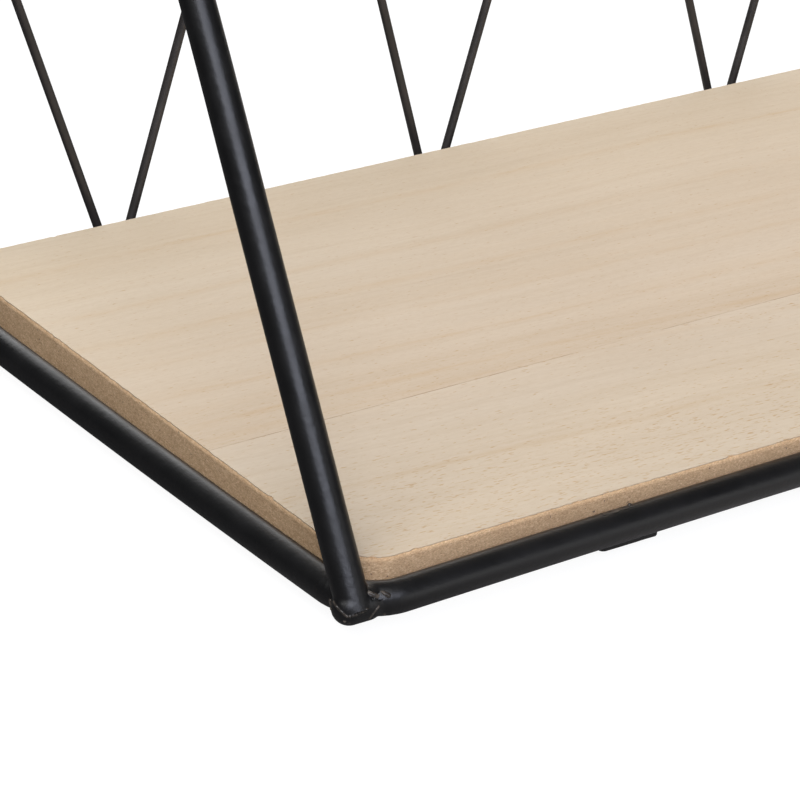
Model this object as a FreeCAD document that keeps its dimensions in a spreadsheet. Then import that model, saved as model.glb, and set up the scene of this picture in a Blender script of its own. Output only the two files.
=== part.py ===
# Desk hutch: two veneered boards held in welded rod frames, one above the other,
# sloping posts in front, upright posts behind and a zigzag wire across the back.
# Units: millimetres. +X runs along the boards, -Y is the open front, +Z is up.
# The origin is the centre of the footprint on the desk surface.
import FreeCAD, Part
import Sketcher
import os, math

V = FreeCAD.Vector
doc = FreeCAD.newDocument("desk_hutch")

# ---------------------------------------------------------------- dimensions
SIZES = [
    ("rod_dia", 8.0, "frame rod diameter"),
    ("wire_dia", 2.5, "back wire diameter"),
    ("ring_len", 544.0, "frame length, rod centre to rod centre"),
    ("low_depth", 206.0, "lower frame depth, rod centre to rod centre"),
    ("up_depth", 124.0, "upper frame depth, rod centre to rod centre"),
    ("ring_rise", 143.0, "lower to upper frame, rod centre to rod centre"),
    ("low_height", 8.2, "height of the lower frame's rod centre above the desk"),
    ("bend_rad", 12.0, "frame corner bend, rod centreline"),
    ("stub_len", 14.0, "corner to butt seam along the front and back"),
    ("core_thk", 10.0, "fibreboard core thickness"),
    ("veneer_thk", 0.3, "veneer thickness"),
    ("side_gap", 6.4, "rod centre to board edge, sides"),
    ("front_gap", 5.0, "rod centre to board edge, front"),
    ("back_gap", 5.4, "rod centre to board edge, back"),
    ("board_rad", 9.5, "board corner radius"),
    ("tab_wid", 18.0, "tab width along the rail"),
    ("tab_long", 22.0, "tab length under the board"),
    ("tab_thk", 1.5, "tab thickness"),
    ("tab_rad", 5.0, "tab corner radius"),
    ("tab_from_corner", 77.5, "tab centre to frame corner"),
    ("tab_start", -0.4, "tab edge behind the rail's centreline"),
    ("screw_inset", 14.5, "screw centre to rail centreline"),
    ("tab_hole", 4.2, "clearance hole in the tab"),
    ("screw_dia", 3.4, "screw shank diameter"),
    ("screw_depth", 7.5, "screw length inside the board"),
    ("head_dia", 7.0, "pan head diameter"),
    ("head_thk", 2.0, "pan head height"),
    ("head_round", 1.2, "pan head rounding"),
    ("slot_wid", 0.9, "cross recess width"),
    ("slot_long", 4.0, "cross recess length"),
    ("slot_deep", 1.1, "cross recess depth"),
    ("pad_dia", 14.0, "rubber foot diameter"),
    ("pad_thk", 4.2, "rubber foot height"),
    ("pad_round", 1.0, "rubber foot edge rounding"),
    ("pad_inset", 30.0, "foot centre to frame corner, both ways"),
    ("vee_first", 62.0, "frame corner to the first low bend of the wire"),
    ("vee_count", 5.0, "low bends in the wire"),
    ("vee_low", 15.0, "sharp low point of the zigzag below the lower rod centre"),
    ("vee_high", 15.4, "sharp high point of the zigzag above the upper rod centre"),
    ("vee_bend", 5.5, "bend radius of the wire, centreline"),
    ("wire_end_in", 8.5, "wire end to frame corner"),
    ("wire_end_up", 3.0, "wire end above the upper rod centre"),
]
sheet = doc.addObject("Spreadsheet::Sheet", "Sheet")
for i, (alias, value, note) in enumerate(SIZES, start=1):
    sheet.set("A%d" % i, note)
    sheet.set("B%d" % i, str(value))
    sheet.setAlias("B%d" % i, alias)
DERIVED = [
    ("board_thk", "=core_thk + 2 * veneer_thk", "whole board thickness"),
    ("depth_step", "=low_depth - up_depth", "upper frame set back from the lower one"),
    ("box_depth", "=low_depth + rod_dia + wire_dia", "whole depth"),
    ("front_line", "=0 - (low_depth + rod_dia + wire_dia) / 2 + rod_dia / 2", "lower front rod centre, Y"),
    ("vee_pitch", "=(ring_len - 2 * vee_first) / (vee_count - 1)", "low bend spacing"),
    ("post_len", "=sqrt((low_depth - up_depth)^2 + ring_rise^2)", "front post, corner to corner"),
]
for k, (alias, formula, note) in enumerate(DERIVED, start=len(SIZES) + 2):
    sheet.set("A%d" % k, note)
    sheet.set("B%d" % k, formula)
    sheet.setAlias("B%d" % k, alias)
doc.recompute()


def val(name):
    v = getattr(sheet, name)
    return float(getattr(v, "Value", v))


NODES = []          # objects written to parts/, in order


def keep(obj, label):
    obj.Label = label
    NODES.append(obj)
    return obj


def place(obj, x, y, z, axis=None, angle=None):
    """Bind the placement of obj to expressions."""
    if axis is not None:
        obj.Placement = FreeCAD.Placement(V(0, 0, 0), FreeCAD.Rotation(V(*axis), 10))
        obj.setExpression("Placement.Rotation.Angle", angle)
    obj.setExpression("Placement.Base.x", x)
    obj.setExpression("Placement.Base.y", y)
    obj.setExpression("Placement.Base.z", z)


def plane(body, role):
    for f in body.Origin.OriginFeatures:
        if f.Role == role:
            return f
    raise RuntimeError(role)


def new_body(name):
    b = doc.addObject("PartDesign::Body", name)
    if hasattr(b, "AllowCompound"):
        b.AllowCompound = True
    return b


def new_sketch(body, name, role="XY_Plane", lift=None):
    s = body.newObject("Sketcher::SketchObject", name)
    s.AttachmentSupport = [(plane(body, role), "")]
    s.MapMode = "FlatFace"
    if lift is not None:
        s.setExpression(".AttachmentOffset.Base.z", lift)
    return s


def centred_rectangle(s, wide, deep):
    """Rectangle centred on the sketch origin; wide and deep are expressions."""
    a, b = 50.0, 20.0
    pts = [V(-a, -b, 0), V(a, -b, 0), V(a, b, 0), V(-a, b, 0)]
    for i in range(4):
        s.addGeometry(Part.LineSegment(pts[i], pts[(i + 1) % 4]), False)
    for i in range(4):
        s.addConstraint(Sketcher.Constraint("Coincident", i, 2, (i + 1) % 4, 1))
    s.addConstraint([Sketcher.Constraint("Horizontal", 0), Sketcher.Constraint("Horizontal", 2),
                     Sketcher.Constraint("Vertical", 1), Sketcher.Constraint("Vertical", 3)])
    s.addConstraint(Sketcher.Constraint("Symmetric", 0, 1, 2, 1, -1, 1))
    w = s.addConstraint(Sketcher.Constraint("DistanceX", 0, 1, 0, 2, 2 * a))
    s.renameConstraint(w, "wide")
    d = s.addConstraint(Sketcher.Constraint("DistanceY", 1, 1, 1, 2, 2 * b))
    s.renameConstraint(d, "deep")
    s.setExpression("Constraints.wide", wide)
    s.setExpression("Constraints.deep", deep)


def four_circles(s, half_x, y_front, y_back, dia):
    """Circles at (+-half_x, y_front) and (+-half_x, y_back), all values expressions."""
    spots = [(-1, "f"), (1, "f"), (-1, "b"), (1, "b")]
    for i, (sx, row) in enumerate(spots):
        s.addGeometry(Part.Circle(V(sx * 60, -30 if row == "f" else 30, 0), V(0, 0, 1), 3), False)
        names = ("cx%d" % i, "cy%d" % i, "cd%d" % i)
        exprs = (("-" if sx < 0 else "") + "(%s)" % half_x,
                 y_front if row == "f" else y_back, dia)
        cx = s.addConstraint(Sketcher.Constraint("DistanceX", -1, 1, i, 3, sx * 60.0))
        s.renameConstraint(cx, names[0])
        cy = s.addConstraint(Sketcher.Constraint("DistanceY", -1, 1, i, 3, -30.0 if row == "f" else 30.0))
        s.renameConstraint(cy, names[1])
        cd = s.addConstraint(Sketcher.Constraint("Diameter", i, 6.0))
        s.renameConstraint(cd, names[2])
        for n, e in zip(names, exprs):
            s.setExpression("Constraints.%s" % n, e)


def pad(body, sketch, name, length, back=False):
    p = body.newObject("PartDesign::Pad", name)
    p.Profile = sketch
    p.Length = 1.0
    p.setExpression("Length", length)
    p.Reversed = back
    return p


def pocket(body, sketch, name, length, up=False):
    p = body.newObject("PartDesign::Pocket", name)
    p.Profile = sketch
    p.Length = 1.0
    p.setExpression("Length", length)
    p.Reversed = up
    return p


def upright_edges(feature, corners_only=None):
    """Names of the straight edges that run along Z."""
    out = []
    for i, e in enumerate(feature.Shape.Edges, start=1):
        if len(e.Vertexes) != 2 or not isinstance(e.Curve, Part.Line):
            continue
        d = e.Vertexes[1].Point - e.Vertexes[0].Point
        if abs(d.x) < 1e-6 and abs(d.y) < 1e-6:
            out.append("Edge%d" % i)
    return out


def round_edges(body, base, edges, name, radius):
    f = body.newObject("PartDesign::Fillet", name)
    f.Base = (base, edges)
    f.Radius = 0.5
    f.setExpression("Radius", radius)
    return f


# ------------------------------------------------------- frame end pieces
# Each end piece is one bent rod: a short stub along the front, a bend, the side,
# a bend and a short stub along the back. Modelled with the front corner at the
# local origin and the side along +Y.
def end_piece(label, depth, x, y, z, turned):
    b = new_body(label)
    path = new_sketch(b, label + "_path")
    r, st, dp = val("bend_rad"), val("stub_len"), val(depth)
    path.addGeometry(Part.LineSegment(V(st, 0, 0), V(r, 0, 0)), False)
    path.addGeometry(Part.ArcOfCircle(Part.Circle(V(r, r, 0), V(0, 0, 1), r), math.pi, 1.5 * math.pi), False)
    path.addGeometry(Part.LineSegment(V(0, r, 0), V(0, dp - r, 0)), False)
    path.addGeometry(Part.ArcOfCircle(Part.Circle(V(r, dp - r, 0), V(0, 0, 1), r), 0.5 * math.pi, math.pi), False)
    path.addGeometry(Part.LineSegment(V(r, dp, 0), V(st, dp, 0)), False)
    C = Sketcher.Constraint
    path.addConstraint([C("Tangent", 0, 2, 1, 2), C("Tangent", 1, 1, 2, 1),
                        C("Tangent", 2, 2, 3, 2), C("Tangent", 3, 1, 4, 1),
                        C("Horizontal", 0), C("Vertical", 2), C("Horizontal", 4),
                        C("PointOnObject", 0, 1, -1), C("PointOnObject", 2, 1, -2),
                        C("Equal", 1, 3), C("Vertical", 0, 1, 4, 2)])
    for kind, args, value, nm, ex in (
            ("Radius", (1,), r, "bend", "Sheet.bend_rad"),
            ("DistanceX", (-1, 1, 0, 1), st, "stub", "Sheet.stub_len"),
            ("DistanceY", (0, 1, 4, 2), dp, "depth", "Sheet.%s" % depth)):
        k = path.addConstraint(C(kind, *args, value))
        path.renameConstraint(k, nm)
        path.setExpression("Constraints.%s" % nm, ex)
    prof = new_sketch(b, label + "_section", "YZ_Plane", "Sheet.stub_len")
    prof.addGeometry(Part.Circle(V(0, 0, 0), V(0, 0, 1), 4), False)
    prof.addConstraint(C("Coincident", 0, 3, -1, 1))
    k = prof.addConstraint(C("Diameter", 0, 8.0))
    prof.renameConstraint(k, "dia")
    prof.setExpression("Constraints.dia", "Sheet.rod_dia")
    doc.recompute()
    pipe = b.newObject("PartDesign::AdditivePipe", label + "_bent_rod")
    pipe.Profile = prof
    pipe.Spine = path
    doc.recompute()
    length = 2 * (st - r) + math.pi * r + dp - 2 * r
    expect = math.pi * (val("rod_dia") / 2) ** 2 * length
    if abs(b.Shape.Volume / expect - 1) > 0.01:
        raise RuntimeError("%s: volume %s against %s" % (label, b.Shape.Volume, expect))
    if turned:
        place(b, x, y, z, (0, 0, 1), "180 deg")
    else:
        place(b, x, y, z)
    doc.recompute()
    return keep(b, label)


LEFT, RIGHT = "-Sheet.ring_len / 2", "Sheet.ring_len / 2"
LOW_F, LOW_B = "Sheet.front_line", "Sheet.front_line + Sheet.low_depth"
UP_F, UP_B = "Sheet.front_line + Sheet.depth_step", "Sheet.front_line + Sheet.low_depth"
LOW_Z, UP_Z = "Sheet.low_height", "Sheet.low_height + Sheet.ring_rise"

low_left = end_piece("lower_end_left", "low_depth", LEFT, LOW_F, LOW_Z, False)
low_right = end_piece("lower_end_right", "low_depth", RIGHT, LOW_B, LOW_Z, True)
up_left = end_piece("upper_end_left", "up_depth", LEFT, UP_F, UP_Z, False)
up_right = end_piece("upper_end_right", "up_depth", RIGHT, UP_B, UP_Z, True)


# ------------------------------------------------------- straight rails
def rail(label, y, z):
    c = doc.addObject("Part::Cylinder", label)
    c.setExpression("Radius", "Sheet.rod_dia / 2")
    c.setExpression("Height", "Sheet.ring_len - 2 * Sheet.stub_len")
    place(c, "-Sheet.ring_len / 2 + Sheet.stub_len", y, z, (0, 1, 0), "90 deg")
    return keep(c, label)


rail("lower_front_rail", LOW_F, LOW_Z)
rail("lower_back_rail", LOW_B, LOW_Z)
rail("upper_front_rail", UP_F, UP_Z)
rail("upper_back_rail", UP_B, UP_Z)


# ------------------------------------------------------- posts
# A post is a straight rod with rounded ends centred on the two frame corners,
# coped where it meets the bent end pieces.
def post(label, x, y0, y1, slopes, low_end, up_end):
    rod = doc.addObject("Part::Cylinder", label + "_rod")
    rod.setExpression("Radius", "Sheet.rod_dia / 2")
    rod.setExpression("Height", "Sheet.post_len" if slopes else "Sheet.ring_rise")
    if slopes:
        place(rod, x, y0, LOW_Z, (-1, 0, 0), "atan(Sheet.depth_step / Sheet.ring_rise)")
    else:
        place(rod, x, y0, LOW_Z)
    toe = doc.addObject("Part::Sphere", label + "_toe")
    toe.setExpression("Radius", "Sheet.rod_dia / 2")
    place(toe, x, y0, LOW_Z)
    top = doc.addObject("Part::Sphere", label + "_top")
    top.setExpression("Radius", "Sheet.rod_dia / 2")
    place(top, x, y1, UP_Z)
    whole = doc.addObject("Part::MultiFuse", label + "_whole")
    whole.Shapes = [rod, toe, top]
    whole.Refine = True
    cut_low = doc.addObject("Part::Cut", label + "_coped_low")
    cut_low.Base = whole
    cut_low.Tool = low_end
    cut = doc.addObject("Part::Cut", label)
    cut.Base = cut_low
    cut.Tool = up_end
    doc.recompute()
    return keep(cut, label)


post("front_post_left", LEFT, LOW_F, UP_F, True, low_left, up_left)
post("front_post_right", RIGHT, LOW_F, UP_F, True, low_right, up_right)
post("back_post_left", LEFT, LOW_B, UP_B, False, low_left, up_left)
post("back_post_right", RIGHT, LOW_B, UP_B, False, low_right, up_right)


# ------------------------------------------------------- zigzag back wire
# One wire bent to and fro between the two back rails and welded behind them.
# Its path is straight legs joined by tangent arcs in one upright plane.
def zigzag():
    n = int(round(val("vee_count")))
    x0 = -val("ring_len") / 2
    zl = val("low_height") - val("vee_low")
    zh = val("low_height") + val("ring_rise") + val("vee_high")
    y = val("front_line") + val("low_depth") + val("rod_dia") / 2 + val("wire_dia") / 2
    pts = [V(x0 + val("wire_end_in"), y, val("low_height") + val("ring_rise") + val("wire_end_up"))]
    for i in range(n):
        xb = x0 + val("vee_first") + i * val("vee_pitch")
        pts.append(V(xb, y, zl))
        if i < n - 1:
            pts.append(V(xb + val("vee_pitch") / 2, y, zh))
    pts.append(V(-pts[0].x, y, pts[0].z))
    r = val("vee_bend")
    edges, start = [], pts[0]
    for a, b, c in zip(pts, pts[1:], pts[2:]):
        u = (a - b).normalize()
        w = (c - b).normalize()
        half = u.getAngle(w) / 2
        t = r / math.tan(half)
        p, q = b + u * t, b + w * t
        mid = (u + w).normalize()
        m = b + mid * (r / math.sin(half) - r)
        edges.append(Part.LineSegment(start, p).toShape())
        edges.append(Part.Arc(p, m, q).toShape())
        start = q
    edges.append(Part.LineSegment(start, pts[-1]).toShape())
    path = Part.Wire(edges)
    d = (pts[1] - pts[0]).normalize()
    ring = Part.Wire([Part.Circle(pts[0], d, val("wire_dia") / 2).toShape()])
    solid = path.makePipeShell([ring], True, True)
    expect = math.pi * (val("wire_dia") / 2) ** 2 * path.Length
    if abs(solid.Volume / expect - 1) > 0.01:
        raise RuntimeError("wire volume %s against %s" % (solid.Volume, expect))
    return solid


wire = doc.addObject("Part::Feature", "back_zigzag_wire")
wire.Shape = zigzag()
keep(wire, "back_zigzag_wire")


# ------------------------------------------------------- boards
# A fibreboard core with a thin veneer glued on each face. Screw holes come in
# from below, four to a board.
def board_layer(label, depth, y_line, z, thick, holes, hole_dia, hole_deep):
    b = new_body(label)
    s = new_sketch(b, label + "_outline")
    wide = "Sheet.ring_len - 2 * Sheet.side_gap"
    deep = "Sheet.%s - Sheet.front_gap - Sheet.back_gap" % depth
    centred_rectangle(s, wide, deep)
    p = pad(b, s, label + "_sheet", thick)
    doc.recompute()
    f = round_edges(b, p, upright_edges(p), label + "_corners", "Sheet.board_rad")
    doc.recompute()
    before = b.Shape.Volume
    if holes:
        h = new_sketch(b, label + "_holes")
        shift = "(%s) / 2" % deep
        four_circles(h, "Sheet.ring_len / 2 - Sheet.tab_from_corner",
                     "-%s + Sheet.screw_inset - Sheet.front_gap" % shift,
                     "%s - Sheet.screw_inset + Sheet.back_gap" % shift, hole_dia)
        pk = pocket(b, h, label + "_drilled", hole_deep, up=True)
        doc.recompute()
        if not b.Shape.Volume < before - 1.0:
            raise RuntimeError(label + ": holes cut nothing")
    place(b, "0", "%s + Sheet.front_gap + (%s) / 2" % (y_line, deep), z)
    doc.recompute()
    return keep(b, label)


for level, depth, y_line, zc in (("lower", "low_depth", LOW_F, LOW_Z), ("upper", "up_depth", UP_F, UP_Z)):
    base = "%s - Sheet.rod_dia / 2" % zc
    board_layer(level + "_board_under_veneer", depth, y_line, base,
                "Sheet.veneer_thk", True, "Sheet.screw_dia", "Sheet.veneer_thk")
    board_layer(level + "_board_core", depth, y_line, base + " + Sheet.veneer_thk",
                "Sheet.core_thk", True, "Sheet.screw_dia", "Sheet.screw_depth - Sheet.veneer_thk")
    board_layer(level + "_board_top_veneer", depth, y_line, base + " + Sheet.veneer_thk + Sheet.core_thk",
                "Sheet.veneer_thk", False, None, None)


# ------------------------------------------------------- screw tabs
# Flat tabs welded under the rails; a screw goes up through each into the board.
def tab(label, x, y, z, back):
    b = new_body(label)
    s = new_sketch(b, label + "_outline")
    centred_rectangle(s, "Sheet.tab_wid", "Sheet.tab_long")
    p = pad(b, s, label + "_plate", "Sheet.tab_thk", back=True)
    doc.recompute()
    round_edges(b, p, upright_edges(p), label + "_corners", "Sheet.tab_rad")
    doc.recompute()
    before = b.Shape.Volume
    h = new_sketch(b, label + "_hole")
    h.addGeometry(Part.Circle(V(0, 3, 0), V(0, 0, 1), 2), False)
    h.addConstraint(Sketcher.Constraint("PointOnObject", 0, 3, -2))
    k = h.addConstraint(Sketcher.Constraint("DistanceY", -1, 1, 0, 3, 3.0))
    h.renameConstraint(k, "inset")
    h.setExpression("Constraints.inset", "Sheet.screw_inset - Sheet.tab_start - Sheet.tab_long / 2")
    k = h.addConstraint(Sketcher.Constraint("Diameter", 0, 4.0))
    h.renameConstraint(k, "dia")
    h.setExpression("Constraints.dia", "Sheet.tab_hole")
    pocket(b, h, label + "_drilled", "Sheet.tab_thk", up=False)
    doc.recompute()
    if not b.Shape.Volume < before - 1.0:
        raise RuntimeError(label + ": hole cut nothing")
    if back:
        place(b, x, "%s - Sheet.tab_start - Sheet.tab_long / 2" % y, z, (0, 0, 1), "180 deg")
    else:
        place(b, x, "%s + Sheet.tab_start + Sheet.tab_long / 2" % y, z)
    doc.recompute()
    return keep(b, label)


TAB_L = "-Sheet.ring_len / 2 + Sheet.tab_from_corner"
TAB_R = "Sheet.ring_len / 2 - Sheet.tab_from_corner"
for level, yf, yb, zc in (("lower", LOW_F, LOW_B, LOW_Z), ("upper", UP_F, UP_B, UP_Z)):
    under = "%s - Sheet.rod_dia / 2" % zc
    tab(level + "_tab_front_left", TAB_L, yf, under, False)
    tab(level + "_tab_front_right", TAB_R, yf, under, False)
    tab(level + "_tab_back_left", TAB_L, yb, under, True)
    tab(level + "_tab_back_right", TAB_R, yb, under, True)


# ------------------------------------------------------- screws
# Four pan-head screws to a board, drawn together: shank up into the board, head
# below the tab, cross recess in the head.
def screws(label, depth, yf, z):
    b = new_body(label)
    half = "Sheet.ring_len / 2 - Sheet.tab_from_corner"
    y1, y2 = "Sheet.screw_inset", "Sheet.%s - Sheet.screw_inset" % depth
    s = new_sketch(b, label + "_shank_circles", lift="-Sheet.tab_thk")
    four_circles(s, half, y1, y2, "Sheet.screw_dia")
    pad(b, s, label + "_shanks", "Sheet.tab_thk + Sheet.screw_depth")
    s = new_sketch(b, label + "_head_circles", lift="-Sheet.tab_thk")
    four_circles(s, half, y1, y2, "Sheet.head_dia")
    heads = pad(b, s, label + "_heads", "Sheet.head_thk", back=True)
    doc.recompute()
    low = min(v.Point.z for v in heads.Shape.Vertexes)
    rims = ["Edge%d" % i for i, e in enumerate(heads.Shape.Edges, start=1)
            if isinstance(e.Curve, Part.Circle) and abs(e.Curve.Center.z - low) < 1e-6
            and abs(e.Curve.Radius - val("head_dia") / 2) < 1e-6]
    round_edges(b, heads, rims, label + "_pan", "Sheet.head_round")
    doc.recompute()
    before = b.Shape.Volume
    r = new_sketch(b, label + "_cross_outline", lift="-Sheet.tab_thk - Sheet.head_thk")
    a, w = val("slot_long") / 2, val("slot_wid") / 2
    hx, cy1, cy2 = val("ring_len") / 2 - val("tab_from_corner"), val("screw_inset"), val(depth) - val("screw_inset")
    outline = [(-a, -w), (-w, -w), (-w, -a), (w, -a), (w, -w), (a, -w),
               (a, w), (w, w), (w, a), (-w, a), (-w, w), (-a, w)]
    for cx, cy in ((-hx, cy1), (hx, cy1), (-hx, cy2), (hx, cy2)):
        for (p, q) in zip(outline, outline[1:] + outline[:1]):
            r.addGeometry(Part.LineSegment(V(cx + p[0], cy + p[1], 0), V(cx + q[0], cy + q[1], 0)), False)
    pocket(b, r, label + "_cross", "Sheet.slot_deep", up=True)
    doc.recompute()
    if not b.Shape.Volume < before - 1.0:
        raise RuntimeError(label + ": cross cut nothing")
    place(b, "0", yf, z)
    doc.recompute()
    return keep(b, label)


screws("lower_board_screws", "low_depth", LOW_F, "%s - Sheet.rod_dia / 2" % LOW_Z)
screws("upper_board_screws", "up_depth", UP_F, "%s - Sheet.rod_dia / 2" % UP_Z)


# ------------------------------------------------------- rubber feet
def feet(label):
    b = new_body(label)
    s = new_sketch(b, label + "_circles")
    four_circles(s, "Sheet.ring_len / 2 - Sheet.pad_inset", "Sheet.pad_inset",
                 "Sheet.low_depth - Sheet.pad_inset", "Sheet.pad_dia")
    p = pad(b, s, label + "_discs", "Sheet.pad_thk")
    doc.recompute()
    low = ["Edge%d" % i for i, e in enumerate(p.Shape.Edges, start=1)
           if isinstance(e.Curve, Part.Circle) and abs(e.Curve.Center.z) < 1e-6]
    round_edges(b, p, low, label + "_rounded", "Sheet.pad_round")
    place(b, "0", LOW_F, "Sheet.low_height - Sheet.rod_dia / 2 - Sheet.pad_thk")
    doc.recompute()
    return keep(b, label)


feet("rubber_feet")

# ------------------------------------------------------- checks and output
doc.recompute()
for o in doc.Objects:
    if "Invalid" in o.State or "Error" in o.State:
        raise RuntimeError("%s is %s" % (o.Label, o.State))
box = FreeCAD.BoundBox()
for o in NODES:
    sh = o.Shape
    if sh.isNull() or not sh.isValid():
        raise RuntimeError("%s has a bad shape" % o.Label)
    if not sh.Solids:
        raise RuntimeError("%s has no solid" % o.Label)
    box.add(sh.BoundBox)
    print("%-28s solids %d  volume %10.2f  box %s" % (o.Label, len(sh.Solids), sh.Volume, sh.BoundBox))
os.makedirs("parts", exist_ok=True)
for o in NODES:
    o.Shape.exportStep("parts/%s.step" % o.Label)
print("nodes", len(NODES), "whole box", box)
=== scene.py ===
import math

import bmesh
import bpy
import numpy as np
from mathutils import Matrix, Vector


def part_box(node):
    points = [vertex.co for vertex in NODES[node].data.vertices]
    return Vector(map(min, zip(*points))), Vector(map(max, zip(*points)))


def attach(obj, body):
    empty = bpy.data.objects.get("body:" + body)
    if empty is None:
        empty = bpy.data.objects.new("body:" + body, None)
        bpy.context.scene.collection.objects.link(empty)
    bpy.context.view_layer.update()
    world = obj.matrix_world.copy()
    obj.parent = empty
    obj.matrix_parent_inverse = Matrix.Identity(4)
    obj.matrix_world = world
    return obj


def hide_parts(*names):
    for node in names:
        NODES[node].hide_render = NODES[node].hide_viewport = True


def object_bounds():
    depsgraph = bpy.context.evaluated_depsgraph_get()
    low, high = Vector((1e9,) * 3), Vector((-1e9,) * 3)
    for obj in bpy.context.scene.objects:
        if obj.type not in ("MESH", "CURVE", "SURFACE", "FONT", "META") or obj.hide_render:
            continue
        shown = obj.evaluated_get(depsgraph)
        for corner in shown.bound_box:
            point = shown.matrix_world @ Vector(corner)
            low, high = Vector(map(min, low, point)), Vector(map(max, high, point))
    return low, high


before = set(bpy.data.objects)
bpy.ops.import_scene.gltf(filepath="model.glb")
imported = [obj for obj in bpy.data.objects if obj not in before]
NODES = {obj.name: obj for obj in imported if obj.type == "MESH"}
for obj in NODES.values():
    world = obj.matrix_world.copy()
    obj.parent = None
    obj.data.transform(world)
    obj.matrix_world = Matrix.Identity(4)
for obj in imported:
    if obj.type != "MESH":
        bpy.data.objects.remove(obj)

CAD_LO, CAD_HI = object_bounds()
MM = 0.001


def mm_box(node):
    lo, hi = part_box(node)
    return np.array(lo) * 1000.0, np.array(hi) * 1000.0


# ------------------------------------------------------------------ places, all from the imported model, in millimetres
rail_lo, rail_hi = mm_box("lower_front_rail")
ROD = (rail_hi[2] - rail_lo[2]) / 2
end_lo, end_hi = mm_box("lower_end_left")
XL = end_lo[0] + ROD
XR = mm_box("lower_end_right")[1][0] - ROD
YF = (rail_lo[1] + rail_hi[1]) / 2
ZL = (rail_lo[2] + rail_hi[2]) / 2
back_lo, back_hi = mm_box("lower_back_rail")
YB = (back_lo[1] + back_hi[1]) / 2
up_lo, up_hi = mm_box("upper_front_rail")
YU = (up_lo[1] + up_hi[1]) / 2
ZU = (up_lo[2] + up_hi[2]) / 2
SEAM = rail_lo[0] - XL
WIRE_Y = (mm_box("back_zigzag_wire")[0][1] + mm_box("back_zigzag_wire")[1][1]) / 2
WIRE_R = (mm_box("back_zigzag_wire")[1][1] - mm_box("back_zigzag_wire")[0][1]) / 2
BEND = 12.0
LONG = XR - XL
DEEP = YB - YF
UP_DEEP = YB - YU


# ------------------------------------------------------------------ mesh helpers
def mesh_object(name, verts, faces, smooth=True):
    me = bpy.data.meshes.new(name)
    me.from_pydata([tuple(v) for v in np.asarray(verts, float) * MM], [], [tuple(int(i) for i in f) for f in faces])
    me.validate()
    bm = bmesh.new()
    bm.from_mesh(me)
    bmesh.ops.recalc_face_normals(bm, faces=bm.faces)
    bm.to_mesh(me)
    bm.free()
    if smooth:
        me.polygons.foreach_set("use_smooth", [True] * len(me.polygons))
    o = bpy.data.objects.new(name, me)
    bpy.context.scene.collection.objects.link(o)
    return o


def natural(xs, ys):
    """A smooth curve through a few points, y as a function of x."""
    xs, ys = np.array(xs, float), np.array(ys, float)
    n, h = len(xs), np.diff(xs)
    a, r = np.eye(n), np.zeros(n)
    for i in range(1, n - 1):
        a[i, i - 1], a[i, i], a[i, i + 1] = h[i - 1], 2 * (h[i - 1] + h[i]), h[i]
        r[i] = 6 * ((ys[i + 1] - ys[i]) / h[i] - (ys[i] - ys[i - 1]) / h[i - 1])
    m = np.linalg.solve(a, r)

    def f(x):
        x = np.atleast_1d(np.asarray(x, float))
        k = np.clip(np.searchsorted(xs, x) - 1, 0, n - 2)
        d0, d1 = x - xs[k], xs[k + 1] - x
        return (m[k] * d1 ** 3 + m[k + 1] * d0 ** 3) / (6 * h[k]) + (ys[k] / h[k] - m[k] * h[k] / 6) * d1 + (ys[k + 1] / h[k] - m[k + 1] * h[k] / 6) * d0

    return f


def resample(pts, step_of):
    """Points along a dense line, closer together where step_of says so."""
    pts = np.asarray(pts, float)
    s = np.concatenate([[0], np.cumsum(np.linalg.norm(np.diff(pts, axis=0), axis=1))])
    out, t = [0.0], 0.0
    while t < s[-1]:
        p = [np.interp(t, s, pts[:, k]) for k in range(3)]
        t += step_of(p)
        out.append(min(t, s[-1]))
    if out[-1] - out[-2] < 0.05:
        out.pop(-2)
    return np.stack([np.interp(out, s, pts[:, k]) for k in range(3)], 1)


def tube(name, pts, radius, seg=64, caps=True):
    pts = np.asarray(pts, float)
    n = len(pts)
    rad = np.full(n, float(radius)) if np.isscalar(radius) else np.asarray(radius, float)
    t = np.gradient(pts, axis=0)
    t /= np.linalg.norm(t, axis=1)[:, None]
    ref = np.array([0, 0, 1.0]) if abs(t[0][2]) < 0.9 else np.array([1.0, 0, 0])
    u = ref - t[0] * (ref @ t[0])
    u /= np.linalg.norm(u)
    ang = np.linspace(0, 2 * np.pi, seg, endpoint=False)
    rings = []
    for i in range(n):
        u = u - t[i] * (u @ t[i])
        u /= np.linalg.norm(u)
        w = np.cross(t[i], u)
        rings.append(pts[i] + rad[i] * (np.cos(ang)[:, None] * u + np.sin(ang)[:, None] * w))
    verts = np.concatenate(rings)
    faces = []
    for i in range(n - 1):
        a, b = i * seg, (i + 1) * seg
        for j in range(seg):
            k = (j + 1) % seg
            faces.append((a + j, a + k, b + k, b + j))
    if caps:
        # the end faces have their own corners, so the round wall keeps its shading
        k = len(verts)
        verts = np.concatenate([verts, rings[0], rings[-1]])
        faces.append(tuple(range(k + seg - 1, k - 1, -1)))
        faces.append(tuple(range(k + seg, k + 2 * seg)))
    o = mesh_object(name, verts, faces)
    if caps:
        for p in list(o.data.polygons)[-2:]:
            p.use_smooth = False
    return o


# ------------------------------------------------------------------ rod lines
flat = lambda x: np.zeros_like(np.atleast_1d(np.asarray(x, float)))
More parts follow.
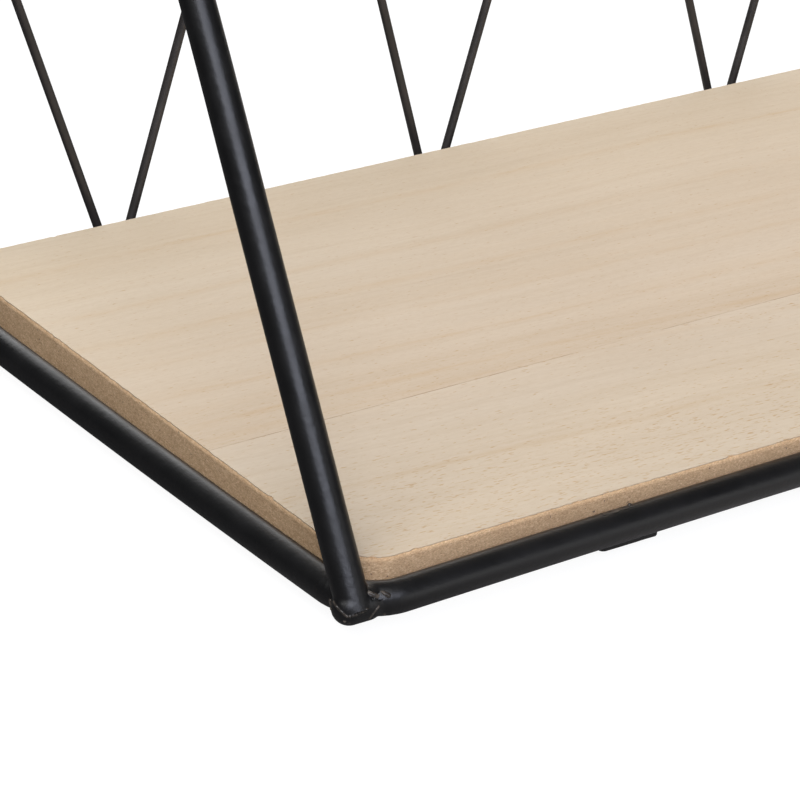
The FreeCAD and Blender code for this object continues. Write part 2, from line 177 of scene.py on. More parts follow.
# the lower frame is bent by hand: each side runs a little off the straight line
LOW_LEFT = natural([0, 9.7, 25.6, 42, 59, 76.5, 95, 114, 133, 154, 180, DEEP], [1.62, 1.34, 0.85, 0.41, 0.0, -0.37, -0.70, -0.97, -1.20, -1.39, -1.30, -0.75])
LOW_FRONT = natural([0, 12.8, 21, 32, 46, 63, 81, 99, 117, 130, 190, 272, 360, 450, LONG], [-1.40, -1.13, -0.93, -0.68, -0.38, -0.05, 0.26, 0.54, 0.79, 0.88, 0.80, 0.45, 0.2, 0.05, 0.0])


# the lower back rail is pushed in a little and hangs a little low, so it hides behind the board
BACK_IN = natural([0, 12, 26, 70, 272, LONG - 70, LONG - 26, LONG - 12, LONG], [0, -0.25, -0.55, -0.60, -0.55, -0.60, -0.55, -0.25, 0])
BACK_SAG = natural([0, 12, 26, 70, 272, LONG - 70, LONG - 26, LONG - 12, LONG], [0, -0.40, -0.85, -0.95, -0.90, -0.95, -0.85, -0.40, 0])


def ring_lines(x0, x1, y0, y1, z, left, front, back=flat, sag=flat):
    """The four sides of a frame as functions, and its four lines cut at the butt seams."""
    def bend(p, d, q, e):
        # p, d: start and its direction; q, e: end and its direction
        k = 0.5523 * BEND
        a, b = p + k * d, q - k * e
        t = np.linspace(0, 1, 41)[:, None]
        return (1 - t) ** 3 * p + 3 * t * (1 - t) ** 2 * a + 3 * t * t * (1 - t) * b + t ** 3 * q

    def on_left(y):
        return np.stack([x0 + left(y - y0), np.asarray(y, float), np.full(len(y), z)], 1)

    def on_right(y):
        return np.stack([x1 + flat(y), np.asarray(y, float), np.full(len(y), z)], 1)

    def on_front(x):
        return np.stack([np.asarray(x, float), y0 + front(x - x0), np.full(len(x), z)], 1)

    def on_back(x):
        return np.stack([np.asarray(x, float), y1 + back(np.asarray(x) - x0), z + sag(np.asarray(x) - x0)], 1)

    def heading(fn, a, s):
        p = fn(np.array([a - 0.5, a + 0.5]))
        d = (p[1] - p[0]) * s
        return d / np.linalg.norm(d)

    xs, ys = x0 + left(np.array([0.0]))[0], y0 + front(np.array([0.0]))[0]
    fx, ly = xs + BEND, ys + BEND
    bx = x0 + left(np.array([y1 - y0]))[0] + BEND
    a = on_front(np.linspace(x0 + SEAM, fx, 6))
    b = on_left(np.linspace(ly, y1 - BEND, 200))
    c = on_back(np.linspace(bx, x0 + SEAM, 6))
    if bx > x0 + SEAM:
        c = on_back(np.array([bx, x0 + SEAM]))
    e1 = bend(a[-1], heading(on_front, fx, -1), b[0], heading(on_left, ly, 1))
    e2 = bend(b[-1], heading(on_left, y1 - BEND, 1), c[0], heading(on_back, c[0][0], 1))
    end_left = np.concatenate([a, e1[1:], b[1:], e2[1:], c[1:]])
    a = on_front(np.linspace(x1 - SEAM, x1 - BEND, 6))
    b = on_right(np.linspace(y0 + BEND, y1 - BEND, 200))
    c = on_back(np.linspace(x1 - BEND, x1 - SEAM, 6))
    e1 = bend(a[-1], heading(on_front, x1 - BEND, 1), b[0], np.array([0, 1.0, 0]))
    e2 = bend(b[-1], np.array([0, 1.0, 0]), c[0], heading(on_back, x1 - BEND, -1))
    end_right = np.concatenate([a, e1[1:], b[1:], e2[1:], c[1:]])
    front_line = on_front(np.linspace(x0 + SEAM, x1 - SEAM, 400))
    back_line = on_back(np.linspace(x0 + SEAM, x1 - SEAM, 400))
    return {"end_left": end_left, "end_right": end_right, "front_rail": front_line, "back_rail": back_line}


def near_corner(x0, x1, y0, y1):
    def step(p):
        dx = min(abs(p[0] - x0), abs(p[0] - x1))
        dy = min(abs(p[1] - y0), abs(p[1] - y1))
        return 0.6 if dx < 16 and dy < 16 else 4.0
    return step


PIECES = {}
small_left = natural([0, 40, 80, UP_DEEP], [0, 0.25, 0.2, 0])
small_front = natural([0, 150, 272, 400, LONG], [0, 0.5, 0.7, 0.4, 0])
RINGS = {
    "lower": ring_lines(XL, XR, YF, YB, ZL, LOW_LEFT, LOW_FRONT, BACK_IN, BACK_SAG),
    "upper": ring_lines(XL, XR, YU, YB, ZU, small_left, small_front),
}
for level, y0 in (("lower", YF), ("upper", YU)):
    for part, line in RINGS[level].items():
        line = resample(line, near_corner(XL, XR, y0, YB))
        s = np.concatenate([[0], np.cumsum(np.linalg.norm(np.diff(line, axis=0), axis=1))])
        o = tube("coated_%s_%s" % (level, part), line, ROD)
        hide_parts("%s_%s" % (level, part))
        PIECES["%s_%s" % (level, part)] = o

# the posts: nearly straight, each foot a little inside the frame's sharp corner
FOOT = np.array([0.95, -0.48, 0.0])
POSTS = {
    "front_post_left": [(0.95, -0.48, 0), (0.95, 7.04, 13.31), (0.95, 22.5, 40.9), (0.93, 44.6, 80.3), (0.9, 66.4, 118.9), (0.7, 80.9, ZU - ZL)],
    "front_post_right": [(LONG - 0.6, -0.4, 0), (LONG - 0.6, 22.6, 40.9), (LONG - 0.5, 44.8, 80.0), (LONG - 0.3, 67.6, 119.2), (LONG - 0.2, DEEP - UP_DEEP, ZU - ZL)],
    "back_post_left": [(0.3, DEEP, 0), (0.2, DEEP + 0.2, 70), (0.2, DEEP, ZU - ZL)],
    "back_post_right": [(LONG - 0.3, DEEP, 0), (LONG - 0.1, DEEP + 0.2, 70), (LONG - 0.2, DEEP, ZU - ZL)],
}
for name, pts in POSTS.items():
    p = np.array(pts, float) + np.array([XL, YF, ZL])
    fx, fy = natural(p[:, 2], p[:, 0]), natural(p[:, 2], p[:, 1])
    z = np.linspace(p[0][2] + 0.6, p[-1][2] - 0.6, 60)
    line = np.stack([fx(z), fy(z), z], 1)
    PIECES[name] = tube("coated_" + name, line, ROD)
    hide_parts(name)
    POSTS[name] = p


# ------------------------------------------------------------------ welded corners, cut from a distance field
def seg_dist(p, a, b):
    a, b = np.asarray(a, float), np.asarray(b, float)
    d = b - a
    t = np.clip(((p - a) @ d) / (d @ d), 0, 1)
    return np.linalg.norm(p - (a + t[:, None] * d), axis=1)


def smin(a, b, k):
    h = np.clip(0.5 + 0.5 * (b - a) / k, 0, 1)
    return b * (1 - h) + a * h - k * h * (1 - h)


def ripple(seed, n=9, low=0.5, high=3.2):
    g = np.random.default_rng(seed)
    k = g.normal(size=(n, 3))
    k = k / np.linalg.norm(k, axis=1)[:, None] * g.uniform(low, high, n)[:, None]
    f = g.uniform(0, 6.28, n)
    return lambda p: np.sin(p @ k.T + f).sum(1) / n ** 0.5


def surface(sdf, lo, hi, h, name):
    """A smooth closed mesh of sdf = 0 in a box, by surface nets."""
    lo, hi = np.asarray(lo, float), np.asarray(hi, float)
    n = np.ceil((hi - lo) / h).astype(int) + 1
    ax = [lo[k] + h * np.arange(n[k]) for k in range(3)]
    # a coarse pass finds where the surface is, and only that shell is worked out finely
    q = 4
    cn = (n - 1) // q + 2
    grid = np.stack(np.meshgrid(*[lo[k] + h * q * np.arange(cn[k]) for k in range(3)], indexing="ij"), -1).reshape(-1, 3)
    coarse = sdf(grid).reshape(cn)
    near = np.full(cn - 1, 1e9)
    for dx in (0, 1):
        for dy in (0, 1):
            for dz in (0, 1):
                near = np.minimum(near, np.abs(coarse[dx:dx + cn[0] - 1, dy:dy + cn[1] - 1, dz:dz + cn[2] - 1]))
    near = near < h * q * 1.25 + 0.25
    pad = np.pad(near, 1)
    node_on = np.zeros(n, bool)
    node_sign = np.ones(n, np.float32)
    idx = [np.arange(n[k]) // q for k in range(3)]
    for shift in ((0, 0, 0), (-1, 0, 0), (0, -1, 0), (0, 0, -1), (-1, -1, 0), (-1, 0, -1), (0, -1, -1), (-1, -1, -1)):
        sel = [np.where(np.arange(n[k]) % q == 0, idx[k] + shift[k], idx[k]) + 1 for k in range(3)]
        node_on |= pad[np.ix_(*sel)]
    sel = [np.minimum((np.arange(n[k]) + q // 2) // q, cn[k] - 1) for k in range(3)]
    vol = coarse[np.ix_(*sel)].astype(np.float32)
    w = np.argwhere(node_on)
    for i in range(0, len(w), 120000):
        part = w[i:i + 120000]
        vol[tuple(part.T)] = sdf(lo + h * part)
    vol[0], vol[-1] = 1, 1
    vol[:, 0], vol[:, -1] = 1, 1
    vol[:, :, 0], vol[:, :, -1] = 1, 1
    inside = vol < 0
    m = n - 1
    count = np.zeros(m, np.int8)
    for dx in (0, 1):
        for dy in (0, 1):
            for dz in (0, 1):
                count += inside[dx:dx + m[0], dy:dy + m[1], dz:dz + m[2]]
    cells = np.argwhere((count > 0) & (count < 8))
    index = np.full(m, -1, np.int64)
    index[tuple(cells.T)] = np.arange(len(cells))
    total, hits = np.zeros((len(cells), 3)), np.zeros(len(cells))
    for axis in range(3):
        others = [k for k in range(3) if k != axis]
        for b in (0, 1):
            for c in (0, 1):
                a0 = cells.copy()
                a0[:, others[0]] += b
                a0[:, others[1]] += c
                a1 = a0.copy()
                a1[:, axis] += 1
                v0, v1 = vol[tuple(a0.T)], vol[tuple(a1.T)]
                cross = (v0 < 0) != (v1 < 0)
                t = np.where(cross, v0 / np.where(cross, v0 - v1, 1), 0)
                q = a0.astype(float)
                q[:, axis] += t
                total[cross] += q[cross]
                hits += cross
    verts = lo + h * total / hits[:, None]
    for _ in range(3):
        d = sdf(verts)
        g = np.stack([sdf(verts + e) - sdf(verts - e) for e in np.eye(3) * 0.04], 1) / 0.08
        gl = np.maximum((g * g).sum(1), 0.25)
        verts = verts - np.clip(0.8 * d / gl, -0.3 * h, 0.3 * h)[:, None] * g
    faces = []
    for axis in range(3):
        o1, o2 = [k for k in range(3) if k != axis]
        s0 = [slice(None)] * 3
        s1 = [slice(None)] * 3
        s0[axis], s1[axis] = slice(0, -1), slice(1, None)
        edges = np.argwhere(inside[tuple(s0)] != inside[tuple(s1)])
        ok = (edges[:, o1] > 0) & (edges[:, o2] > 0) & (edges[:, o1] < m[o1]) & (edges[:, o2] < m[o2])
        edges = edges[ok]
        quad = []
        for b, c in ((-1, -1), (0, -1), (0, 0), (-1, 0)):
            e = edges.copy()
            e[:, o1] += b
            e[:, o2] += c
            quad.append(index[tuple(e.T)])
        faces.append(np.stack(quad, 1))
    faces = np.concatenate(faces)
    faces = faces[(faces >= 0).all(1)]
    return mesh_object(name, verts, faces), verts


def corner(name, at, sx, sy, ring, post_to, foot, h, seed, main=False):
    """One welded corner. Local axes run from the sharp corner along the two rods, and z is up."""
    at = np.array(at, float)
    flip = np.array([sx, sy, 1.0])
    ring_pts = ring
    near = np.linalg.norm(ring_pts - at, axis=1) < 40
    line = ((ring_pts - at) * flip)[near]
    keep = [0]
    for i in range(1, len(line)):
        gap = 1.0 if np.hypot(line[i][0], line[i][1]) < 15 else 5.0
        if np.linalg.norm(line[i] - line[keep[-1]]) > gap:
            keep.append(i)
    line = line[keep]
    foot = np.array(foot, float)
    axis = np.array(post_to, float) - foot
    axis /= np.linalg.norm(axis)
    up = 1.0 if axis[2] > 0 else -1.0
    wave, fine = ripple(seed), ripple(seed + 50, 8, 3.0, 7.0)
    top = foot + 30 * axis
    # directions facing the corner: rightward, downward and inward, for the seams that run over it
    across, downward, inward = np.array([0.82928, -0.55812, 0.02821]), np.array([-0.22151, -0.37464, -0.90032]), np.array([0.51305, 0.74037, -0.43431])
    cuts, strokes, pits = [], [], []

    def parts(p):
        r2 = np.full(len(p), 1e9)
        for i in range(len(line) - 1):
            r2 = np.minimum(r2, seg_dist(p, line[i], line[i + 1]))
        reach = np.clip((np.linalg.norm(p, axis=1) - 10.0) / 8.0, 0, 1)
        a = r2 - (ROD + 0.012 - 0.05 * reach)
        along = (p - foot) @ axis
        size = ROD + 0.012 - 0.05 * np.clip((along - 8.0) / 4.0, 0, 1)
        if main:
            # the post's end is pinched to a point: two flats meet in a V
            b = seg_dist(p, foot - 9 * axis, top) - size
            x, y = p @ across, p @ downward
            left = (x + 3.40) * -0.738 + (y + 1.55) * 0.677
            right = (x + 0.35) * 0.338 + (y - 1.86) * 0.940
            b = np.maximum(b, smax(left, right, 0.4))
        else:
            b = seg_dist(p, foot + 1.2 * axis, top) - size
        c = seg_dist(p, (0, 0, 0), (4.3, -0.05, 0.0)) - (ROD + 0.02)
        return a, b, c

    def smax(u, v, k):
        return -smin(-u, -v, k)

    def body(p):
        a, b, c = parts(p)
        return smin(smin(b, c, 0.35), a, 0.7)

    if main:
        def touch(x, y):
            """Where a line going inward at that place meets the surface."""
            t = np.array([-14.0])
            for _ in range(60):
                q = (x * across + y * downward + t[0] * inward)[None]
                d = body(q)[0]
                if d < 0.004:
                    break
                t += 0.85 * d
            return q[0]

        def stroke(points, r, bright):
            q = [touch(x, y) for x, y in points]
            for u, v in zip(q[:-1], q[1:]):
                strokes.append((u, v, r, bright))

        def drop(x, y, r, bright, sink=0.0):
            q = touch(x, y) + inward * sink
            strokes.append((q, q + 0.02, r, bright))

        # the last number of each seam is how much its crest is painted a lighter brown: partly worn coat, partly a
        # painted highlight
        stroke([(-3.40, -1.40), (-2.64, -0.33), (-1.54, 0.77), (-0.33, 1.80)], 0.17, 0.75)
        for x, y, r in ((0.25, 1.80, 0.26), (0.95, 1.62, 0.33), (1.65, 1.42, 0.30), (2.3, 1.15, 0.36), (3.0, 0.78, 0.40), (3.6, 0.52, 0.32), (4.0, 0.25, 0.22)):
            drop(x, y, r, 0.8)
        stroke([(0.25, 1.80), (1.65, 1.42), (3.0, 0.78), (4.0, 0.25)], 0.16, 0.5)
        stroke([(3.85, 3.38), (4.5, 2.42), (5.27, 1.43), (6.04, 0.44), (6.57, -0.20)], 0.17, 0.85)
        stroke([(-4.15, -1.35), (-4.10, -0.60), (-3.85, 0.30)], 0.30, 0.9)
        stroke([(4.55, -3.25), (5.6, -2.75), (6.35, -2.5)], 0.42, 1.0)
        stroke([(7.35, -3.2), (8.4, -2.75)], 0.40, 0.8)
        drop(8.75, -2.55, 0.34, 0.6)
        drop(4.9, -3.05, 0.34, 0.7)
        drop(-0.9, 2.95, 0.30, 0.9)
        drop(0.1, 3.35, 0.22, 0.6)
        drop(7.75, 1.62, 0.24, 0.7)
        stroke([(10.3, -3.05), (12.2, -3.35), (14.2, -3.85)], 0.0, 0.0)
        for x, y, r in ((6.95, -2.75, 0.55), (6.8, -2.1, 0.5), (7.5, -2.25, 0.4), (5.2, -2.0, 0.35)):
            pits.append((touch(x, y) + 0.12 * inward, r))

    def sdf(p):
        a, b, c = parts(p)
        w = wave(p)
        d = smin(b, c, 0.35)
        d = smin(d, a, 0.7)
        # raised weld lips along the lines where the rods meet
        if not main:
            lip2 = np.sqrt(c * c + a * a) - np.clip(0.24 + 0.10 * fine(p), 0.05, 0.5)
            d = smin(d, lip2, 0.22)
        lip3 = np.sqrt(b * b + a * a) - np.clip((0.30 if main else 0.42) + 0.2 * w, 0.1, 0.9)
        d = smin(d, lip3, 0.35)
        for u, v, r, bright in strokes:
            if r > 0:
                d = smin(d, seg_dist(p, u, v) - r, 0.14)
        for q, r in pits:
            d = -smin(-d, np.linalg.norm(p - q, axis=1) - r, 0.2)
        # the piece ends inside the rods
        d = np.maximum(d, p[:, 0] - 22.0)
        d = np.maximum(d, p[:, 1] - 22.0)
        d = np.maximum(d, (p - foot) @ axis - 12.5)
        return d

    hi = np.array([23.0, 23.0, 0.0])
    lo = np.array([-5.2, -5.6, 0.0])
    ends = np.stack([foot - 5 * axis, foot + 14.5 * axis])
    if up > 0:
        lo[2], hi[2] = -4.9, 13.6
    else:
        lo[2], hi[2] = -13.6, 4.9
    hi[1] = max(hi[1], ends[:, 1].max() + 5)
    lo[1] = min(lo[1], ends[:, 1].min() - 4.6 if main or abs(axis[1]) > 0.1 else lo[1])
    lo[1] = max(lo[1], -12.5)
    o, verts = surface(sdf, lo, hi, h, name)
    a, b, c = parts(verts)
    # how much each point is painted a lighter brown, on the weld crest between post and rod and along the seams: partly
    # worn coat, partly a painted highlight
    ridge_wear_and_highlight = 0.6 * np.exp(-((b * b + a * a) / 0.16))
    if not main:
        ridge_wear_and_highlight += 0.8 * np.exp(-((c * c + a * a) / 0.08))
    for u, v, r, bright in strokes:
        if r > 0:
            ridge_wear_and_highlight = np.maximum(ridge_wear_and_highlight, bright * np.exp(-np.maximum(seg_dist(verts, u, v) - r * 0.8, 0) ** 2 / 0.02))
    att = o.data.attributes.new("ridge_wear_and_highlight", "FLOAT", "POINT")
    att.data.foreach_set("value", np.clip(ridge_wear_and_highlight, 0, 1).astype(np.float32))
    co = (verts * flip + at) * MM
    o.data.vertices.foreach_set("co", co.astype(np.float32).ravel())
    if sx * sy < 0:
        o.data.flip_normals()
    o.data.update()
    PIECES[name] = o
    return o


ring_low_left = RINGS["lower"]["end_left"]
ring_low_right = RINGS["lower"]["end_right"]
extra_l = RINGS["lower"]["front_rail"]
full_low = lambda side: np.concatenate([RINGS["lower"]["front_rail"][:12][::-1], RINGS["lower"]["end_left"], RINGS["lower"]["back_rail"][:12]]) if side < 0 else np.concatenate([RINGS["lower"]["front_rail"][-12:], RINGS["lower"]["end_right"], RINGS["lower"]["back_rail"][-12:][::-1]])
full_up = lambda side: np.concatenate([RINGS["upper"]["front_rail"][:12][::-1], RINGS["upper"]["end_left"], RINGS["upper"]["back_rail"][:12]]) if side < 0 else np.concatenate([RINGS["upper"]["front_rail"][-12:], RINGS["upper"]["end_right"], RINGS["upper"]["back_rail"][-12:][::-1]])


def post_ends(name, at, sx, sy, low):
    p = POSTS[name]
    a, b = (p[0], p[1]) if low else (p[-1], p[-2])
    flip = np.array([sx, sy, 1.0])
    return (a - at) * flip, (b - at) * flip


QUICK_STEP = 0.24
for name, post, low, sx, sy, x, y in (
    ("corner_weld_lower_front_left", "front_post_left", True, 1, 1, XL, YF),
    ("corner_weld_lower_front_right", "front_post_right", True, -1, 1, XR, YF),
    ("corner_weld_lower_back_left", "back_post_left", True, 1, -1, XL, YB),
    ("corner_weld_lower_back_right", "back_post_right", True, -1, -1, XR, YB),
    ("corner_weld_upper_front_left", "front_post_left", False, 1, 1, XL, YU),
    ("corner_weld_upper_front_right", "front_post_right", False, -1, 1, XR, YU),
    ("corner_weld_upper_back_left", "back_post_left", False, 1, -1, XL, YB),
    ("corner_weld_upper_back_right", "back_post_right", False, -1, -1, XR, YB),
):
    z = ZL if low else ZU
    at = np.array([x, y, z])
    foot, to = post_ends(post, at, sx, sy, low)
    main = name == "corner_weld_lower_front_left"
    ring = (full_low if low else full_up)(-1 if sx > 0 else 1)
    corner(name, at, sx, sy, ring, to, foot, 0.17 if main else QUICK_STEP, 11 + 7 * len(PIECES), main)


# ------------------------------------------------------------------ zigzag wire
def zigzag():
    base = np.array([XL, YF, ZL])
    cross = lambda l, r: ((l[0] - r[0]) / (r[1] - l[1]), (l[0] * r[1] - r[0] * l[1]) / (r[1] - l[1]))
    # each leg leans a little differently: x = a + b z, measured from the frame's corner
    legs = [(56.85, -0.342), (66.30, 0.308), (162.34, -0.289), (171.13, 0.297), (268.63, -0.321), (276.89, 0.267)]
    pitch = (LONG - 124.0) / 4
    for k, down, up in ((3, -0.330, 0.300), (4, -0.306, 0.330)):
        x = 62.0 + pitch * k
        legs += [(x - 4.9 + 0.6 * (k - 3), down), (x + 4.4, up)]
    node_lo, node_hi = mm_box("back_zigzag_wire")
    pts = []
    z_end = ZU - ZL + 3.0
    pts.append((legs[0][0] + legs[0][1] * z_end, z_end))
    for i in range(len(legs) - 1):
        z, x = cross(legs[i], legs[i + 1])
        pts.append((x, z))
    pts.append((legs[-1][0] + legs[-1][1] * z_end, z_end))
    pts = [np.array([x, 0, z]) + np.array([XL, WIRE_Y, ZL]) for x, z in pts]
    out = [pts[0]]
    tips = []
    for i in range(1, len(pts) - 1):
        p, q, r = pts[i - 1], pts[i], pts[i + 1]
        u, v = (p - q) / np.linalg.norm(p - q), (r - q) / np.linalg.norm(r - q)
        half = math.acos(np.clip(u @ v, -1, 1)) / 2
        rad = 5.5 if q[2] > ZL + 50 else 4.0
        cut = rad / math.tan(half)
        mid = (u + v) / np.linalg.norm(u + v)
        c = q + mid * rad / math.sin(half)
        a = q + u * cut
        turn = math.pi - 2 * half
        e1 = (a - c) / rad
        e2 = -u
        for t in np.linspace(0, turn, 22):
            out.append(c + rad * (math.cos(t) * e1 + math.sin(t) * e2))
        tips.append(c - mid * rad)
    out.append(pts[-1])
    out = np.array(out)
    # longer runs get more points
    dense = [out[0]]
    for a, b in zip(out[:-1], out[1:]):
        n = max(1, int(np.linalg.norm(b - a) / 8))
        for k in range(1, n + 1):
            dense.append(a + (b - a) * k / n)
    return np.array(dense), tips, pts


wire_line, wire_tips, wire_knees = zigzag()
PIECES["wire"] = tube("zigzag_wire", wire_line, WIRE_R, seg=32)
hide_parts("back_zigzag_wire")


def blob_mesh(name, centres, sizes, seed):
    """Small weld runs, each a lumpy drop of metal, in one mesh."""
    verts, faces = [], []
    g = np.random.default_rng(seed)
    for c, s in zip(centres, sizes):
        bm = bmesh.new()
        bmesh.ops.create_icosphere(bm, subdivisions=3, radius=1.0)
        w = ripple(int(g.integers(1, 9999)), 7, 1.2, 3.5)
        v = np.array([x.co[:] for x in bm.verts])
        v = v * (1 + 0.09 * w(v))[:, None] * np.array(s) + np.array(c)
        k = len(verts)
        verts.extend(v.tolist())
        faces.extend([[k + x.index for x in f.verts] for f in bm.faces])
        bm.free()
    return mesh_object(name, verts, faces)


def wire_welds():
    for level, z, y0 in (("lower", ZL, YB), ("upper", ZU, YB)):
        cs, ss = [], []
        for i in range(len(wire_line) - 1):
            a, b = wire_line[i], wire_line[i + 1]
            if (a[2] - z) * (b[2] - z) < 0:
                t = (z - a[2]) / (b[2] - a[2])
                p = a + t * (b - a)
                lean = (b[0] - a[0]) / (b[2] - a[2])
                for s in (-1, 1):
                    cs.append((p[0] + s * 1.25 - lean * 1.3, (y0 + ROD + WIRE_Y) / 2 - 0.75, z - 1.3))
                    ss.append((0.9, 0.8, 1.35))
        o = blob_mesh("wire_welds_%s" % level, cs, ss, 5 if level == "lower" else 6)
        PIECES["wire_welds_%s" % level] = o


wire_welds()


# ------------------------------------------------------------------ boards
def rounded_outline(x0, x1, y0, y1, r, step):
    pts = []
    n = max(6, int(r * math.pi / 2 / min(step, 0.5)))
    for cx, cy, a0 in ((x1 - r, y0 + r, -90), (x1 - r, y1 - r, 0), (x0 + r, y1 - r, 90), (x0 + r, y0 + r, 180)):
        for k in range(n + 1):
            a = math.radians(a0 + 90 * k / n)
            pts.append((cx + r * math.cos(a), cy + r * math.sin(a)))
    out = []
    for a, b in zip(pts, pts[1:] + pts[:1]):
        a, b = np.array(a), np.array(b)
        m = max(1, int(np.linalg.norm(b - a) / step))
        for k in range(m):
            out.append(a + (b - a) * k / m)
    return np.array(out)


def outward(pts):
    d = np.roll(pts, -1, 0) - np.roll(pts, 1, 0)
    d /= np.linalg.norm(d, axis=1)[:, None]
    return np.stack([d[:, 1], -d[:, 0]], 1)


def slab(name, pts, z0, z1, bevel_low, bevel_high, wobble=None, holes=()):
    """A flat plate from an outline, its edges rounded. wobble moves each ring in or out."""
    n, nrm = len(pts), outward(pts)
    rings = []

    def add(offset, z):
        w = 0 if wobble is None else wobble
        p = pts + nrm * (offset + w)[:, None] if np.ndim(offset + w) else pts + nrm * offset
        rings.append(np.column_stack([p, np.full(n, z)]))

    steps = 4
    for k in range(steps + 1):
        a = math.radians(90 * k / steps)
        if bevel_low > 0:
            add(-bevel_low * (1 - math.sin(a)), z0 + bevel_low * (1 - math.cos(a)))
    if bevel_low <= 0:
        add(0.0, z0)
    if z1 - z0 > 4:
        for k in range(1, 8):
            add(0.0, z0 + (z1 - z0) * k / 8)
    if bevel_high <= 0:
        add(0.0, z1)
    else:
        for k in range(steps + 1):
            a = math.radians(90 * k / steps)
            add(-bevel_high * (1 - math.cos(a)), z1 - bevel_high * (1 - math.sin(a)))
    bm = bmesh.new()
    vs = [[bm.verts.new(tuple(v * MM)) for v in ring] for ring in rings]
    for a, b in zip(vs[:-1], vs[1:]):
        for j in range(n):
            k = (j + 1) % n
            f = bm.faces.new((a[j], a[k], b[k], b[j]))
            f.smooth = True
    for ring, rev in ((vs[0], True), (vs[-1], False)):
        inner = []
        hole_rings = []
        e = [bm.edges.get((ring[j], ring[(j + 1) % n])) for j in range(n)]
        z = ring[0].co.z
        es = list(e)
        for hx, hy, hr in holes:
            if rev or True:
                hv = [bm.verts.new(((hx + hr * math.cos(a)) * MM, (hy + hr * math.sin(a)) * MM, z)) for a in np.linspace(0, 2 * math.pi, 40, endpoint=False)]
                hole_rings.append(hv)
                es += [bm.edges.new((hv[j], hv[(j + 1) % 40])) for j in range(40)]
        if holes:
            bmesh.ops.triangle_fill(bm, use_beauty=True, use_dissolve=False, edges=es)
            inner.append(hole_rings)
            ring_holes.setdefault(name, []).append(hole_rings)
        else:
            bm.faces.new(ring[::-1] if rev else ring)
    if holes:
        lowh, highh = ring_holes[name]
        for a, b in zip(lowh, highh):
            for j in range(len(a)):
                k = (j + 1) % len(a)
                f = bm.faces.new((a[j], b[j], b[k], a[k]))
                f.smooth = True
    bmesh.ops.recalc_face_normals(bm, faces=bm.faces)
    me = bpy.data.meshes.new(name)
    bm.to_mesh(me)
    bm.free()
    o = bpy.data.objects.new(name, me)
    bpy.context.scene.collection.objects.link(o)
    return o


ring_holes = {}


def ragged(n, seed, sizes, amounts):
    """A closed wandering line: a sum of smoothed noises."""
    g = np.random.default_rng(seed)
    out = np.zeros(n)
    for size, amount in zip(sizes, amounts):
        m = max(8, int(n / size))
        v = g.normal(size=m)
        x = np.arange(n) / n * m
        i = np.floor(x).astype(int)
        t = x - i
        t = t * t * (3 - 2 * t)
        out += amount * (v[i % m] * (1 - t) + v[(i + 1) % m] * t)
    return out


BOARD_STEP = 0.35
screws = {}
for level, y0 in (("lower", YF), ("upper", YU)):
    lo, hi = mm_box("%s_board_core" % level)
    tlo, thi = mm_box("%s_board_top_veneer" % level)
    ulo, uhi = mm_box("%s_board_under_veneer" % level)
    rad = 9.5
    out = rounded_outline(lo[0], hi[0], lo[1], hi[1], rad, BOARD_STEP)
    nrm = outward(out)
    n = len(out)
    seed = 21 if level == "lower" else 34
    o = slab("%s_fibreboard_core" % level, out, lo[2], hi[2], 0.0, 0.0, ragged(n, seed, (6, 25, 300), (0.012, 0.02, 0.05)))
    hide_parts("%s_board_core" % level)
    PIECES["core_" + level] = o
    # veneer: torn a little along its edges, with a few chips
    w = ragged(n, seed + 1, (2, 5, 40, 400), (0.035, 0.045, 0.03, 0.03)) - 0.09
    chips = [(20.8, 4.8, 0.8, 0.42), (10.3, 6.2, 0.8, 0.42), (111.3, 4.7, 1.0, 0.42), (48.0, 5.1, 0.6, 0.3), (66, 5.1, 0.5, 0.22), (6.5, 43, 0.8, 0.3), (6.6, 88, 0.6, 0.25)]
    g = np.random.default_rng(seed + 2)
    for k in range(26):
        side = g.integers(0, 4)
        x = g.uniform(lo[0] + 12, hi[0] - 12) - XL
        y = g.uniform(lo[1] + 12, hi[1] - 12) - y0
        x, y = ((x, lo[1] - y0), (x, hi[1] - y0), (lo[0] - XL, y), (hi[0] - XL, y))[side]
        if not (side == 0 and x < 135) and not (side == 2):
            chips.append((x, y, g.uniform(0.4, 1.2), g.uniform(0.15, 0.45)))
    for x, y, wide, deep in chips:
        d = np.hypot(out[:, 0] - XL - x, out[:, 1] - y0 - y)
        j = int(np.argmin(d))
        s = np.minimum(np.abs(np.arange(n) - j), n - np.abs(np.arange(n) - j)) * BOARD_STEP
        w -= deep * np.exp(-(s / wide) ** 4)
    w = np.minimum(w, 0.02)
    o = slab("%s_top_veneer" % level, out, tlo[2] + 0.002, thi[2], 0.0, 0.12, w)
    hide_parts("%s_board_top_veneer" % level)
    PIECES["top_" + level] = o
    slo, shi = mm_box("%s_board_screws" % level)
    cx = [slo[0] + 3.5, shi[0] - 3.5]
    cy = [slo[1] + 3.5, shi[1] - 3.5]
    head = np.array([v.co[:] for v in NODES["%s_board_screws" % level].data.vertices]) * 1000
    cx = [head[head[:, 0] < 0, 0].mean(), head[head[:, 0] > 0, 0].mean()]
    mid = (head[:, 1].min() + head[:, 1].max()) / 2
    half = lambda a: (a.min() + a.max()) / 2
    cx = [half(head[head[:, 0] < 0, 0]), half(head[head[:, 0] > 0, 0])]
    cy = [half(head[head[:, 1] < mid, 1]), half(head[head[:, 1] > mid, 1])]
    screws[level] = [(x, y) for x in cx for y in cy]
    wu = ragged(n, seed + 3, (3, 8, 40, 400), (0.035, 0.06, 0.06, 0.04)) - 0.10
    o = slab("%s_under_veneer" % level, out, ulo[2], uhi[2] - 0.002, 0.12, 0.0, np.minimum(wu, 0.02), [(x, y, 1.75) for x, y in screws[level]])
    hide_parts("%s_board_under_veneer" % level)
    PIECES["under_" + level] = o


